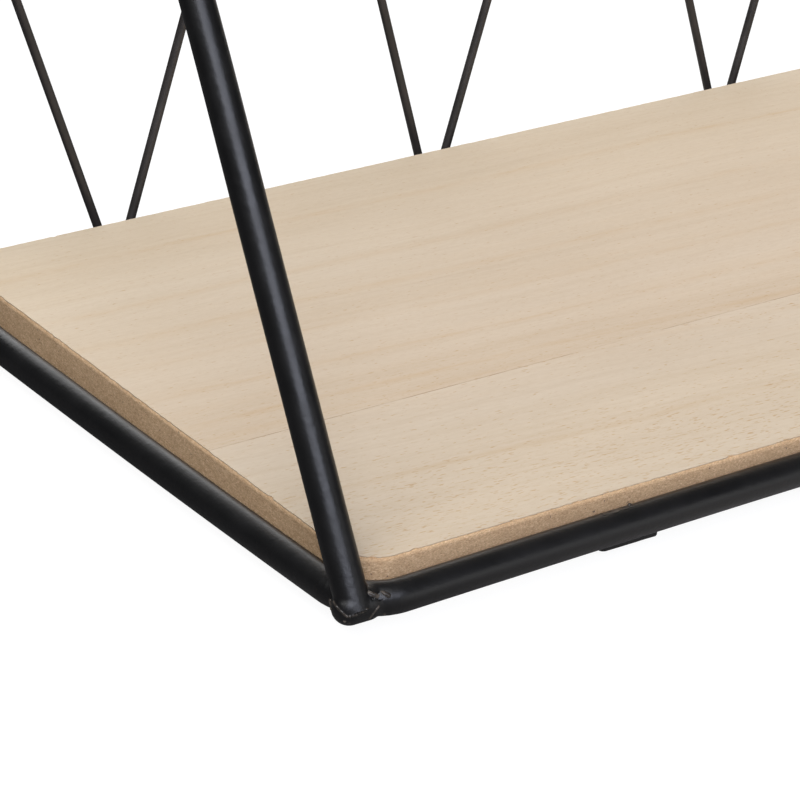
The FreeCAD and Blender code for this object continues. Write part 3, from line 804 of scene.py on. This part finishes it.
# ------------------------------------------------------------------ tabs under the rails
def tab_piece(node, hole):
    lo, hi = mm_box(node)
    front = "front" in node
    r = 5.0
    w0, w1 = lo[0] + 0.35, hi[0] - 0.35
    if node == "lower_tab_front_left":
        # this one sits a shade to the left, from what shows below the rail
        w0, w1 = XL + 69.45, XL + 86.35
    y0, y1 = lo[1], hi[1]
    pts = []
    far = [(w1, y1, 0), (w0, y1, 90)] if front else [(w0, y0, 180), (w1, y0, 270)]
    near_r = 1.6
    corners = []
    if front:
        corners = [(w0 + near_r, y0 + near_r, 180, near_r), (w1 - near_r, y0 + near_r, 270, near_r), (w1 - r, y1 - r, 0, r), (w0 + r, y1 - r, 90, r)]
    else:
        corners = [(w0 + r, y0 + r, 180, r), (w1 - r, y0 + r, 270, r), (w1 - near_r, y1 - near_r, 0, near_r), (w0 + near_r, y1 - near_r, 90, near_r)]
    for cx, cy, a0, rr in corners:
        for k in range(13):
            a = math.radians(a0 + 90 * k / 12)
            pts.append((cx + rr * math.cos(a), cy + rr * math.sin(a)))
    pts = np.array(pts)
    dense = []
    for a, b in zip(pts, np.roll(pts, -1, 0)):
        m = max(1, int(np.linalg.norm(b - a) / 1.2))
        for k in range(m):
            dense.append(a + (b - a) * k / m)
    name = node.replace("_tab_", "_mounting_tab_")
    o = slab(name, np.array(dense), lo[2], hi[2], 0.28, 0.28, ragged(len(dense), abs(hash_of(node)), (3, 9), (0.02, 0.03)), [(hole[0], hole[1], 2.1)])
    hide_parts(node)
    PIECES[name] = o
    # a row of weld runs joining the tab to the rail, along the rail's inner underside
    g = np.random.default_rng(abs(hash_of(node)) + 1)
    y_rail = {"lower_front": YF, "upper_front": YU}.get(node[:11], YB)
    cs, ss = [], []
    inner = 1 if front else -1
    zc = ZL if node.startswith("lower") else ZU
    shift = float(RINGS_FRONT(node, (w0 + w1) / 2))
    for x in np.arange(w0 + 2.0, w1 - 1.6, 1.05):
        cs.append((x + g.uniform(-0.15, 0.15), y_rail + shift + inner * (2.1 + g.uniform(-0.1, 0.1)), zc - 3.75 + g.uniform(-0.1, 0.08)))
        ss.append((0.85 + g.uniform(-0.1, 0.15), 0.95, 0.62))
    w = blob_mesh(name + "_weld", cs, ss, abs(hash_of(node)) + 2)
    PIECES[name + "_weld"] = w


def hash_of(text):
    v = 7
    for ch in text:
        v = (v * 31 + ord(ch)) % 99991
    return v


def RINGS_FRONT(node, x):
    if node.startswith("lower_tab_front"):
        return LOW_FRONT(x - XL)[0]
    if node.startswith("upper_tab_front"):
        return small_front(x - XL)[0]
    return 0.0


for level in ("lower", "upper"):
    for where in ("front", "back"):
        for side in ("left", "right"):
            node = "%s_tab_%s_%s" % (level, where, side)
            lo, hi = mm_box(node)
            hole = min(screws[level], key=lambda s: abs(s[0] - (lo[0] + hi[0]) / 2) + abs(s[1] - (lo[1] + hi[1]) / 2))
            tab_piece(node, hole)


# a burnt, slightly flattened patch on top of the lower front rail above each of its two tabs, left by the welding
# electrode
def rail_mark(name, x0, x1, y, z, shift, inner, seed):
    wave, fine = ripple(seed, 9, 0.6, 2.4), ripple(seed + 3, 9, 2.5, 6.0)
    mid = (x0 + x1) / 2

    def sdf(p):
        # local: x along the rail, y across, z up, from the rail's axis
        r = np.hypot(p[:, 1], p[:, 2])
        ang = np.degrees(np.arctan2(p[:, 1] * inner, p[:, 2]))
        edge = np.clip((np.abs(p[:, 0] - mid) - (x1 - x0) / 2 + 0.5) / 0.8, 0, 1)
        side = np.clip((np.abs(ang - 12) - 13 - 2.5 * wave(p * np.array([1, 0, 0]))) / 7, 0, 1)
        keep = 1 - np.maximum(edge * edge * (3 - 2 * edge), side * side * (3 - 2 * side))
        d = r - (ROD - 0.12 + keep * (0.17 + 0.05 * wave(p) + 0.03 * fine(p)))
        for q, s in (((x1 - 2.3, 4.0 * math.sin(math.radians(18)) * inner, 4.0 * math.cos(math.radians(18))), 0.55), ((x1 - 4.0, 4.0 * math.sin(math.radians(14)) * inner, 4.0 * math.cos(math.radians(14)) - 0.15), 0.4)):
            d = smin(d, np.linalg.norm(p - np.array(q), axis=1) - s, 0.3)
        d = np.maximum(d, 3.0 - p[:, 2])
        d = np.maximum(d, np.abs(p[:, 0] - mid) - (x1 - x0) / 2 - 0.8)
        return d

    o, verts = surface(sdf, (x0 - 1.4, -3.4, 2.7), (x1 + 1.4, 3.4, 5.2), 0.16, name)
    # the raised crest is painted a lighter brown: partly worn coat, partly a painted highlight
    att = o.data.attributes.new("ridge_wear_and_highlight", "FLOAT", "POINT")
    r = np.hypot(verts[:, 1], verts[:, 2])
    att.data.foreach_set("value", np.clip((r - ROD - 0.02) / 0.12, 0, 1).astype(np.float32) * 0.5)
    co = (verts + np.array([0, y + shift, z])) * MM
    o.data.vertices.foreach_set("co", co.astype(np.float32).ravel())
    o.data.update()
    PIECES[name] = o


rail_mark("burn_mark_front_left", XL + 69.6, XL + 80.6, YF, ZL, float(LOW_FRONT(75)[0]), 1, 3)
rail_mark("burn_mark_front_right", XR - 83.0, XR - 71.0, YF, ZL, float(LOW_FRONT(LONG - 77)[0]), 1, 4)


# ------------------------------------------------------------------ materials
def new_material(name):
    m = bpy.data.materials.new(name)
    m.use_nodes = True
    nt = m.node_tree
    nt.nodes.clear()
    out = nt.nodes.new("ShaderNodeOutputMaterial")
    bsdf = nt.nodes.new("ShaderNodeBsdfPrincipled")
    nt.links.new(bsdf.outputs[0], out.inputs[0])
    return m, nt, bsdf


def node(nt, kind, **values):
    n = nt.nodes.new(kind)
    for k, v in values.items():
        if k.startswith("in_"):
            n.inputs[k[3:].replace("_", " ")].default_value = v
        else:
            setattr(n, k, v)
    return n


def mapping(nt, scale, location=(0, 0, 0), rotation=(0, 0, 0)):
    tc = nt.nodes.new("ShaderNodeTexCoord")
    mp = nt.nodes.new("ShaderNodeMapping")
    mp.inputs["Scale"].default_value = scale
    mp.inputs["Location"].default_value = location
    mp.inputs["Rotation"].default_value = rotation
    nt.links.new(tc.outputs["Object"], mp.inputs["Vector"])
    return mp.outputs["Vector"]


def noise(nt, vec, scale, detail=2.0, rough=0.5, distortion=0.0):
    n = node(nt, "ShaderNodeTexNoise", in_Scale=scale, in_Detail=detail, in_Roughness=rough, in_Distortion=distortion)
    nt.links.new(vec, n.inputs["Vector"])
    return n.outputs["Fac"]


def ramp(nt, fac, stops, interpolation="LINEAR"):
    r = nt.nodes.new("ShaderNodeValToRGB")
    r.color_ramp.interpolation = interpolation
    e = r.color_ramp.elements
    while len(e) < len(stops):
        e.new(0.5)
    for el, (pos, col) in zip(e, stops):
        el.position = pos
        el.color = (*col, 1) if len(col) == 3 else col
    nt.links.new(fac, r.inputs["Fac"])
    return r.outputs["Color"]


def grey(v):
    return (v, v, v)


def mix(nt, fac, a, b, mode="MIX"):
    m = nt.nodes.new("ShaderNodeMix")
    m.data_type = "RGBA"
    m.blend_type = mode
    m.clamp_factor = True
    for sock, val in ((m.inputs[0], fac), (m.inputs[6], a), (m.inputs[7], b)):
        if isinstance(val, bpy.types.NodeSocket):
            nt.links.new(val, sock)
        else:
            sock.default_value = val if not isinstance(val, tuple) or len(val) == 4 else (*val, 1)
    return m.outputs[2]


def math_node(nt, op, a, b=None, clamp=False):
    m = nt.nodes.new("ShaderNodeMath")
    m.operation = op
    m.use_clamp = clamp
    for sock, val in ((m.inputs[0], a), (m.inputs[1], b)):
        if val is None:
            continue
        if isinstance(val, bpy.types.NodeSocket):
            nt.links.new(val, sock)
        else:
            sock.default_value = val
    return m.outputs[0]


def bump(nt, height, strength, distance, normal=None):
    b = nt.nodes.new("ShaderNodeBump")
    b.inputs["Strength"].default_value = strength
    b.inputs["Distance"].default_value = distance
    nt.links.new(height, b.inputs["Height"])
    if normal is not None:
        nt.links.new(normal, b.inputs["Normal"])
    return b.outputs["Normal"]


def coat_material(name, ridge_wear_and_highlight=False, base=0.0036, rough=(0.33, 0.42), peel=1.0, tint=(1.05, 1.0, 1.0)):
    m, nt, b = new_material(name)
    v = mapping(nt, (1, 1, 1))
    cloud = noise(nt, v, 90, 3, 0.55)
    fine = noise(nt, v, 1400, 2, 0.6)
    orange = noise(nt, v, 620, 2, 0.5)
    dark = (base * 0.95 * tint[0], base * 0.98 * tint[1], base * 1.02 * tint[2])
    light = (base * 1.5 * tint[0], base * 1.5 * tint[1], base * 1.54 * tint[2])
    col = ramp(nt, cloud, [(0.3, dark), (0.7, light)])
    specks = ramp(nt, noise(nt, v, 2300, 1, 0.5), [(0.71, grey(0)), (0.80, grey(1))])
    col = mix(nt, specks, col, (0.0072, 0.0072, 0.0072) if base < 0.01 else (base * 2, base * 1.9, base * 1.8))
    if ridge_wear_and_highlight:
        # weld crests painted a lighter brown by the ridge weight stored on the mesh: partly worn coat, partly a painted
        # highlight on the ridges
        at = nt.nodes.new("ShaderNodeAttribute")
        at.attribute_name = "ridge_wear_and_highlight"
        wear_and_highlight = math_node(nt, "MULTIPLY", at.outputs["Fac"], ramp_value(nt, noise(nt, v, 420, 3, 0.6), 0.34, 0.62))
        col = mix(nt, wear_and_highlight, col, (0.13, 0.105, 0.082))
    nt.links.new(col, b.inputs["Base Color"])
    r = ramp(nt, cloud, [(0.3, grey(rough[0])), (0.7, grey(rough[1]))])
    nt.links.new(r, b.inputs["Roughness"])
    n1 = bump(nt, orange, 0.30 * peel, 0.00022)
    n2 = bump(nt, fine, 0.22 * peel, 0.00008, n1)
    nt.links.new(n2, b.inputs["Normal"])
    b.inputs["IOR"].default_value = 1.47
    return m


def ramp_value(nt, fac, lo, hi):
    mr = nt.nodes.new("ShaderNodeMapRange")
    mr.clamp = True
    mr.inputs["From Min"].default_value = lo
    mr.inputs["From Max"].default_value = hi
    nt.links.new(fac, mr.inputs["Value"])
    return mr.outputs["Result"]


def veneer_material(name, offset, y_front, flip=False, seam=0.0703, stretch=1.0):
    """Rotary-cut veneer in two strips. Grain lines run along X and lean a little, more so near the front."""
    m, nt, b = new_material(name)
    tc = nt.nodes.new("ShaderNodeTexCoord")
    shifted = nt.nodes.new("ShaderNodeVectorMath"); shifted.operation = "SUBTRACT"
    nt.links.new(tc.outputs["Object"], shifted.inputs[0]); shifted.inputs[1].default_value = (XL * MM, y_front * MM, 0)
    sep = nt.nodes.new("ShaderNodeSeparateXYZ")
    nt.links.new(shifted.outputs[0], sep.inputs[0])
    X, Y = sep.outputs["X"], sep.outputs["Y"]
    if flip:
        X = math_node(nt, "SUBTRACT", LONG * MM, X)
    lean = math_node(nt, "SUBTRACT", 0.0813, math_node(nt, "MULTIPLY", Y, 0.322))
    yp = math_node(nt, "ADD", Y, math_node(nt, "MULTIPLY", X, lean))

    def vec(x, y, z=0.0):
        c = nt.nodes.new("ShaderNodeCombineXYZ")
        for sock, val in zip(c.inputs, (x, y, z)):
            if isinstance(val, bpy.types.NodeSocket):
                nt.links.new(val, sock)
            else:
                sock.default_value = val
        return c.outputs[0]

    strip = math_node(nt, "GREATER_THAN", Y, seam)
    third = math_node(nt, "MULTIPLY", strip, 3.7)
    warp = noise(nt, vec(math_node(nt, "MULTIPLY", X, 11.0), math_node(nt, "MULTIPLY", yp, 22.0), offset[0]), 1.0, 3, 0.55)
    yw = math_node(nt, "ADD", yp, math_node(nt, "MULTIPLY", math_node(nt, "SUBTRACT", warp, 0.5), 0.0075))

    def grain(sx, sy, z, detail=3, rough=0.6):
        return noise(nt, vec(math_node(nt, "MULTIPLY", X, sx), math_node(nt, "MULTIPLY", yw, sy), math_node(nt, "ADD", third, z + offset[1])), 1.0, detail, rough)

    broad = grain(2.0, 30, 0.3, 2)
    band = grain(3.2, 190, 1.3, 3)
    streak = grain(10, 700, 2.3, 3)
    fibre = grain(70, 2100, 3.3, 2)
    mottle = grain(420, 900, 4.3, 2)
    blotch = grain(16, 45, 5.3, 3)
    base = ramp(nt, broad, [(0.30, (0.597, 0.487, 0.360)), (0.47, (0.612, 0.504, 0.377)), (0.62, (0.625, 0.519, 0.393)), (0.78, (0.604, 0.494, 0.366))])
    c = mix(nt, 1.0, base, ramp(nt, band, [(0.30, (0.97, 0.952, 0.925)), (0.50, (1, 1, 1)), (0.72, (0.994, 0.978, 0.952))]), "MULTIPLY")
    c = mix(nt, 1.0, c, ramp(nt, streak, [(0.30, (0.980, 0.968, 0.950)), (0.50, (1, 1, 1)), (0.70, (1.006, 1.006, 1.006))]), "MULTIPLY")
    c = mix(nt, 1.0, c, ramp(nt, fibre, [(0.28, (0.978, 0.968, 0.956)), (0.52, (1, 1, 1)), (0.75, (1.010, 1.012, 1.012))]), "MULTIPLY")
    c = mix(nt, 1.0, c, ramp(nt, mottle, [(0.30, (0.975, 0.965, 0.95)), (0.55, (1, 1, 1)), (0.75, (1.012, 1.015, 1.02))]), "MULTIPLY")
    c = mix(nt, 1.0, c, ramp(nt, blotch, [(0.33, (0.978, 0.968, 0.952)), (0.60, (1.006, 1.006, 1.004))]), "MULTIPLY")
    # the growth lines that stand out, each a thin warmer streak
    lines = [(0.0835, 0.90), (0.0905, 0.35), (0.1003, 0.85), (0.1185, 0.45), (0.1345, 0.55), (0.1520, 0.62), (0.1625, 0.2), (0.1812, 0.85), (0.0765, 0.55), (0.0400, 0.55)]
    stops = [(0.0, grey(0))]
    for y, k in sorted(lines):
        y = y * stretch / 0.21
        stops += [(y - 0.0115, grey(0)), (y, grey(k)), (y + 0.0085, grey(0))]
    stops = sorted((max(0.0, min(1.0, p)), g) for p, g in stops)
    marks = ramp(nt, math_node(nt, "DIVIDE", yw, 0.21), stops)
    broken = ramp_value(nt, noise(nt, vec(math_node(nt, "MULTIPLY", X, 60.0), math_node(nt, "MULTIPLY", yp, 260.0), 7.7 + offset[0]), 1.0, 4, 0.7), 0.38, 0.62)
    marks = math_node(nt, "MULTIPLY", marks, math_node(nt, "ADD", math_node(nt, "MULTIPLY", broken, 0.75), 0.25))
    c = mix(nt, 1.0, c, mix(nt, marks, (1, 1, 1), (0.945, 0.865, 0.755)), "MULTIPLY")
    # across the board the wood is painted darker towards the front edge and lighter towards the back: painted shade and
    # painted light that even out the lamps; just behind the joint the wood is a little browner, in front of it a little
    # paler
    joint_tone_and_painted_shade = ramp(nt, math_node(nt, "DIVIDE", Y, 0.21), [(0.0, (0.925, 0.925, 0.912)), (0.20, (0.945, 0.943, 0.930)), (0.27, (0.975, 0.985, 0.998)), (seam / 0.21 - 0.002, (0.995, 1.003, 1.015)), (seam / 0.21 + 0.002, (0.965, 0.945, 0.92)), (0.46, (0.99, 0.985, 0.98)), (0.75, (1.02, 1.025, 1.012)), (0.93, (1.03, 1.035, 1.005))])
    c = mix(nt, 1.0, c, joint_tone_and_painted_shade, "MULTIPLY")
    joint = math_node(nt, "ABSOLUTE", math_node(nt, "SUBTRACT", math_node(nt, "ADD", Y, math_node(nt, "MULTIPLY", math_node(nt, "SUBTRACT", fibre, 0.5), 0.0002)), seam))
    joint = math_node(nt, "MULTIPLY", math_node(nt, "LESS_THAN", joint, 0.00017), ramp_value(nt, broken, 0.0, 0.9))
    c = mix(nt, joint, c, (0.40, 0.28, 0.185))
    # pores: short dashes, thick in the front strip
    dense = ramp(nt, math_node(nt, "DIVIDE", yp, 0.21), [(0.0, grey(0.055)), (0.16, grey(0.060)), (0.215, grey(0.03)), (0.30, grey(0.0)), (0.36, grey(0.03)), (0.5, grey(0.012)), (0.8, grey(0.0))])
    pores = grain(470, 2300, 6.3, 1, 0.5)
    deep = ramp_value(nt, math_node(nt, "ADD", pores, dense), 0.67, 0.77)
    c = mix(nt, 1.0, c, mix(nt, deep, (1, 1, 1), (0.850, 0.715, 0.560)), "MULTIPLY")
    nt.links.new(c, b.inputs["Base Color"])
    nt.links.new(ramp(nt, fibre, [(0.3, grey(0.66)), (0.7, grey(0.58))]), b.inputs["Roughness"])
    n1 = bump(nt, streak, 0.10, 0.00012)
    n2 = bump(nt, fibre, 0.18, 0.00007, n1)
    n3 = bump(nt, math_node(nt, "SUBTRACT", 1.0, deep), 0.25, 0.00008, n2)
    nt.links.new(n3, b.inputs["Normal"])
    b.inputs["Specular IOR Level"].default_value = 0.28
    return m


def fibreboard_material(name, z0, z1):
    m, nt, b = new_material(name)
    v = mapping(nt, (1, 1, 1))
    flat_v = mapping(nt, (1, 1, 2.2))
    speck = noise(nt, flat_v, 1500, 3, 0.70)
    fine = noise(nt, v, 3100, 2, 0.6)
    coarse = noise(nt, flat_v, 420, 3, 0.6)
    wide = noise(nt, v, 45, 2, 0.5)
    c = ramp(nt, speck, [(0.30, (0.425, 0.262, 0.144)), (0.45, (0.560, 0.374, 0.218)), (0.58, (0.650, 0.455, 0.277)), (0.72, (0.80, 0.615, 0.408))])
    c = mix(nt, 1.0, c, ramp(nt, fine, [(0.3, (0.88, 0.86, 0.84)), (0.55, (1, 1, 1)), (0.75, (1.10, 1.10, 1.10))]), "MULTIPLY")
    c = mix(nt, 1.0, c, ramp(nt, coarse, [(0.32, (0.91, 0.89, 0.87)), (0.6, (1.03, 1.03, 1.02))]), "MULTIPLY")
    c = mix(nt, 1.0, c, ramp(nt, wide, [(0.3, (0.95, 0.94, 0.93)), (0.7, (1.04, 1.04, 1.04))]), "MULTIPLY")
    dots = ramp(nt, noise(nt, v, 900, 1, 0.5), [(0.735, grey(0)), (0.78, grey(1))])
    c = mix(nt, dots, c, (0.15, 0.105, 0.075))
    # the edge is darker towards the bottom, mostly painted shade from the rail in front of it, and a little darker
    # again at the top face, where the pressed layer is denser
    tc = nt.nodes.new("ShaderNodeTexCoord")
    sep = nt.nodes.new("ShaderNodeSeparateXYZ")
    nt.links.new(tc.outputs["Object"], sep.inputs[0])
    mr = nt.nodes.new("ShaderNodeMapRange")
    mr.inputs["From Min"].default_value = z0 * MM
    mr.inputs["From Max"].default_value = z1 * MM
    nt.links.new(sep.outputs["Z"], mr.inputs["Value"])
    layers_and_painted_shade = ramp(nt, mr.outputs["Result"], [(0.0, (0.93, 0.92, 0.91)), (0.35, (1, 1, 1)), (0.8, (1.06, 1.07, 1.08)), (1.0, (1.0, 1.0, 1.0))])
    c = mix(nt, 1.0, c, layers_and_painted_shade, "MULTIPLY")
    nt.links.new(c, b.inputs["Base Color"])
    b.inputs["Roughness"].default_value = 0.9
    b.inputs["Specular IOR Level"].default_value = 0.2
    n1 = bump(nt, speck, 0.5, 0.00022)
    n2 = bump(nt, fine, 0.35, 0.0001, n1)
    nt.links.new(n2, b.inputs["Normal"])
    return m


def screw_material(name):
    m, nt, b = new_material(name)
    v = mapping(nt, (1, 1, 1))
    c = ramp(nt, noise(nt, v, 300, 3, 0.6), [(0.3, (0.33, 0.33, 0.34)), (0.7, (0.50, 0.50, 0.50))])
    nt.links.new(c, b.inputs["Base Color"])
    b.inputs["Metallic"].default_value = 1.0
    nt.links.new(ramp(nt, noise(nt, v, 700, 2, 0.6), [(0.3, grey(0.28)), (0.7, grey(0.48))]), b.inputs["Roughness"])
    nt.links.new(bump(nt, noise(nt, v, 1800, 2, 0.6), 0.2, 0.00006), b.inputs["Normal"])
    return m


def rubber_material(name):
    m, nt, b = new_material(name)
    v = mapping(nt, (1, 1, 1))
    c = ramp(nt, noise(nt, v, 150, 3, 0.6), [(0.3, (0.020, 0.020, 0.021)), (0.7, (0.038, 0.038, 0.040))])
    nt.links.new(c, b.inputs["Base Color"])
    nt.links.new(ramp(nt, noise(nt, v, 900, 2, 0.6), [(0.3, grey(0.72)), (0.7, grey(0.9))]), b.inputs["Roughness"])
    nt.links.new(bump(nt, noise(nt, v, 1500, 2, 0.6), 0.35, 0.0001), b.inputs["Normal"])
    return m


def cover(o, m):
    o.data.materials.clear()
    o.data.materials.append(m)


COAT = coat_material("black_powder_coat")
COAT_WELD = coat_material("black_powder_coat_welds", ridge_wear_and_highlight=True)
# the wire's coat is a paler, warmer copy of the rods' black coat: painted light that makes the thin wires read lighter
COAT_WIRE_PAINTED_PALER = coat_material("black_powder_coat_wire_painted_paler", base=0.0235, rough=(0.36, 0.46), tint=(1.12, 1.0, 0.93))
zl0, zl1 = mm_box("lower_board_core")[0][2], mm_box("lower_board_core")[1][2]
zu0, zu1 = mm_box("upper_board_core")[0][2], mm_box("upper_board_core")[1][2]
LOOKS = {
    "top_lower": veneer_material("pale_veneer_lower_top", (0.0, 0.0), YF),
    "under_lower": veneer_material("pale_veneer_lower_under", (4.3, 2.7), YF, True, 0.118, 0.93),
    "top_upper": veneer_material("pale_veneer_upper_top", (9.1, 5.2), YU, True, 0.081, 0.88),
    "under_upper": veneer_material("pale_veneer_upper_under", (13.7, 8.8), YU, False, 0.052, 0.80),
    "core_lower": fibreboard_material("fibreboard_edge_lower", zl0, zl1),
    "core_upper": fibreboard_material("fibreboard_edge_upper", zu0, zu1),
}
for key, o in PIECES.items():
    if key in LOOKS:
        cover(o, LOOKS[key])
    elif key.startswith("corner_weld") or key.startswith("burn_mark"):
        cover(o, COAT_WELD)
    elif key == "wire":
        cover(o, COAT_WIRE_PAINTED_PALER)
    else:
        cover(o, COAT)
    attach(o, "root")
for level in ("lower", "upper"):
    cover(NODES["%s_board_screws" % level], screw_material("zinc_screw_%s" % level))
cover(NODES["rubber_feet"], rubber_material("black_rubber"))


# ------------------------------------------------------------------ floor, light and camera
def stage_floor():
    me = bpy.data.meshes.new("floor")
    s = 30.0
    me.from_pydata([(-s, -s, 0), (s, -s, 0), (s, s, 0), (-s, s, 0)], [], [(0, 1, 2, 3)])
    o = bpy.data.objects.new("floor", me)
    o.location = (0, 0, CAD_LO[2])
    bpy.context.scene.collection.objects.link(o)
    m = bpy.data.materials.new("pale_floor")
    m.use_nodes = True
    nt = m.node_tree
    nt.nodes.clear()
    out = nt.nodes.new("ShaderNodeOutputMaterial")
    lp = nt.nodes.new("ShaderNodeLightPath")
    seen = nt.nodes.new("ShaderNodeAddShader")
    em = nt.nodes.new("ShaderNodeEmission")
    em.inputs["Color"].default_value = (1, 1, 1, 1)
    em.inputs["Strength"].default_value = FLOOR_GLOW
    df = nt.nodes.new("ShaderNodeBsdfDiffuse")
    df.inputs["Color"].default_value = (0.16, 0.16, 0.16, 1)
    nt.links.new(em.outputs[0], seen.inputs[0])
    nt.links.new(df.outputs[0], seen.inputs[1])
    other = nt.nodes.new("ShaderNodeBsdfDiffuse")
    # seen in reflections and bounce, the floor is white in front and painted darker to the left and behind: painted
    # shade for the dim side of the studio
    tc = nt.nodes.new("ShaderNodeTexCoord")
    dot = nt.nodes.new("ShaderNodeVectorMath")
    dot.operation = "DOT_PRODUCT"
    dot.inputs[1].default_value = (-1.0, 0.55, 0.0)
    nt.links.new(tc.outputs["Object"], dot.inputs[0])
    shade = ramp(nt, ramp_value(nt, dot.outputs["Value"], -XL * MM + 0.55 * YF * MM - 0.16, -XL * MM + 0.55 * YF * MM + 0.07), [(0.0, FLOOR_ALBEDO[:3]), (1.0, (0.09, 0.09, 0.09))], "EASE")
    nt.links.new(shade, other.inputs["Color"])
    mx = nt.nodes.new("ShaderNodeMixShader")
    nt.links.new(lp.outputs["Is Camera Ray"], mx.inputs[0])
    nt.links.new(other.outputs[0], mx.inputs[1])
    nt.links.new(seen.outputs[0], mx.inputs[2])
    nt.links.new(mx.outputs[0], out.inputs[0])
    me.materials.append(m)
    return o


FLOOR_GLOW = 0.93
FLOOR_ALBEDO = (0.60, 0.57, 0.54, 1)
stage_floor()

world = bpy.data.worlds.new("studio")
bpy.context.scene.world = world
world.use_nodes = True
nt = world.node_tree
nt.nodes.clear()
out = nt.nodes.new("ShaderNodeOutputWorld")
mx = nt.nodes.new("ShaderNodeMixShader")
lp = nt.nodes.new("ShaderNodeLightPath")
b1 = nt.nodes.new("ShaderNodeBackground")
b1.inputs["Color"].default_value = (0.9, 0.95, 1.0, 1)
b1.inputs["Strength"].default_value = 0.05
b2 = nt.nodes.new("ShaderNodeBackground")
b2.inputs["Color"].default_value = (1, 1, 1, 1)
b2.inputs["Strength"].default_value = 1.02
nt.links.new(lp.outputs["Is Camera Ray"], mx.inputs[0])
nt.links.new(b1.outputs[0], mx.inputs[1])
nt.links.new(b2.outputs[0], mx.inputs[2])
nt.links.new(mx.outputs[0], out.inputs[0])

CORNER = Vector((XL, YF, ZL)) * MM


def panel(name, azimuth, elevation, distance, width, height, radiance, colour=(1, 1, 1), centre=CORNER):
    """A soft box. Azimuth is from +Y toward +X, in degrees, seen from the centre. Radiance is what a mirror would show."""
    a, e = math.radians(azimuth), math.radians(elevation)
    d = Vector((math.sin(a) * math.cos(e), math.cos(a) * math.cos(e), math.sin(e)))
    light = bpy.data.lights.new(name, "AREA")
    light.shape = "RECTANGLE"
    light.size, light.size_y = width, height
    light.energy = radiance * width * height * math.pi
    light.color = colour
    o = bpy.data.objects.new(name, light)
    o.location = centre + d * distance
    o.rotation_euler = d.to_track_quat("Z", "Y").to_euler()
    o.visible_camera = False
    bpy.context.scene.collection.objects.link(o)
    return o


panel("back_wall", 34, 17, 1.9, 2.3, 1.1, 2.6)
panel("front_softbox", 197, 37, 1.15, 1.02, 0.46, 5.6, (0.92, 0.96, 1.13))
panel("right_fill", 147, 9, 1.2, 0.7, 0.5, 1.2)
panel("high_left", 246, 60, 2.6, 2.3, 1.8, 4.65, (1, 1, 1), CORNER + Vector((0.12, 0.06, 0)))
panel("left_fill", 265, 18, 1.6, 1.0, 0.8, 0.10)

# the studio's light comes from all round, so the upper shelf throws hardly any shade on the lower one
for key in ("top_upper", "core_upper", "under_upper"):
    PIECES[key].visible_shadow = False

cam = bpy.data.cameras.new("camera")
cam.sensor_fit = "HORIZONTAL"
cam.sensor_width = 36.0
cam.lens = 158.19
cam.clip_start, cam.clip_end = 0.01, 100
cam_o = bpy.data.objects.new("camera", cam)
bpy.context.scene.collection.objects.link(cam_o)
right = Vector((0.82928, -0.55812, 0.02821))
down = Vector((-0.22151, -0.37464, -0.90032))
ahead = Vector((0.51305, 0.74037, -0.43431))
rot = Matrix((right, -down, -ahead)).transposed()
cam_o.matrix_world = Matrix.Translation(CORNER + Vector((-0.37689, -0.561067, 0.376833))) @ rot.to_4x4()
bpy.context.scene.camera = cam_o
bpy.context.scene.view_settings.view_transform = "Standard"
bpy.context.scene.view_settings.look = "None"
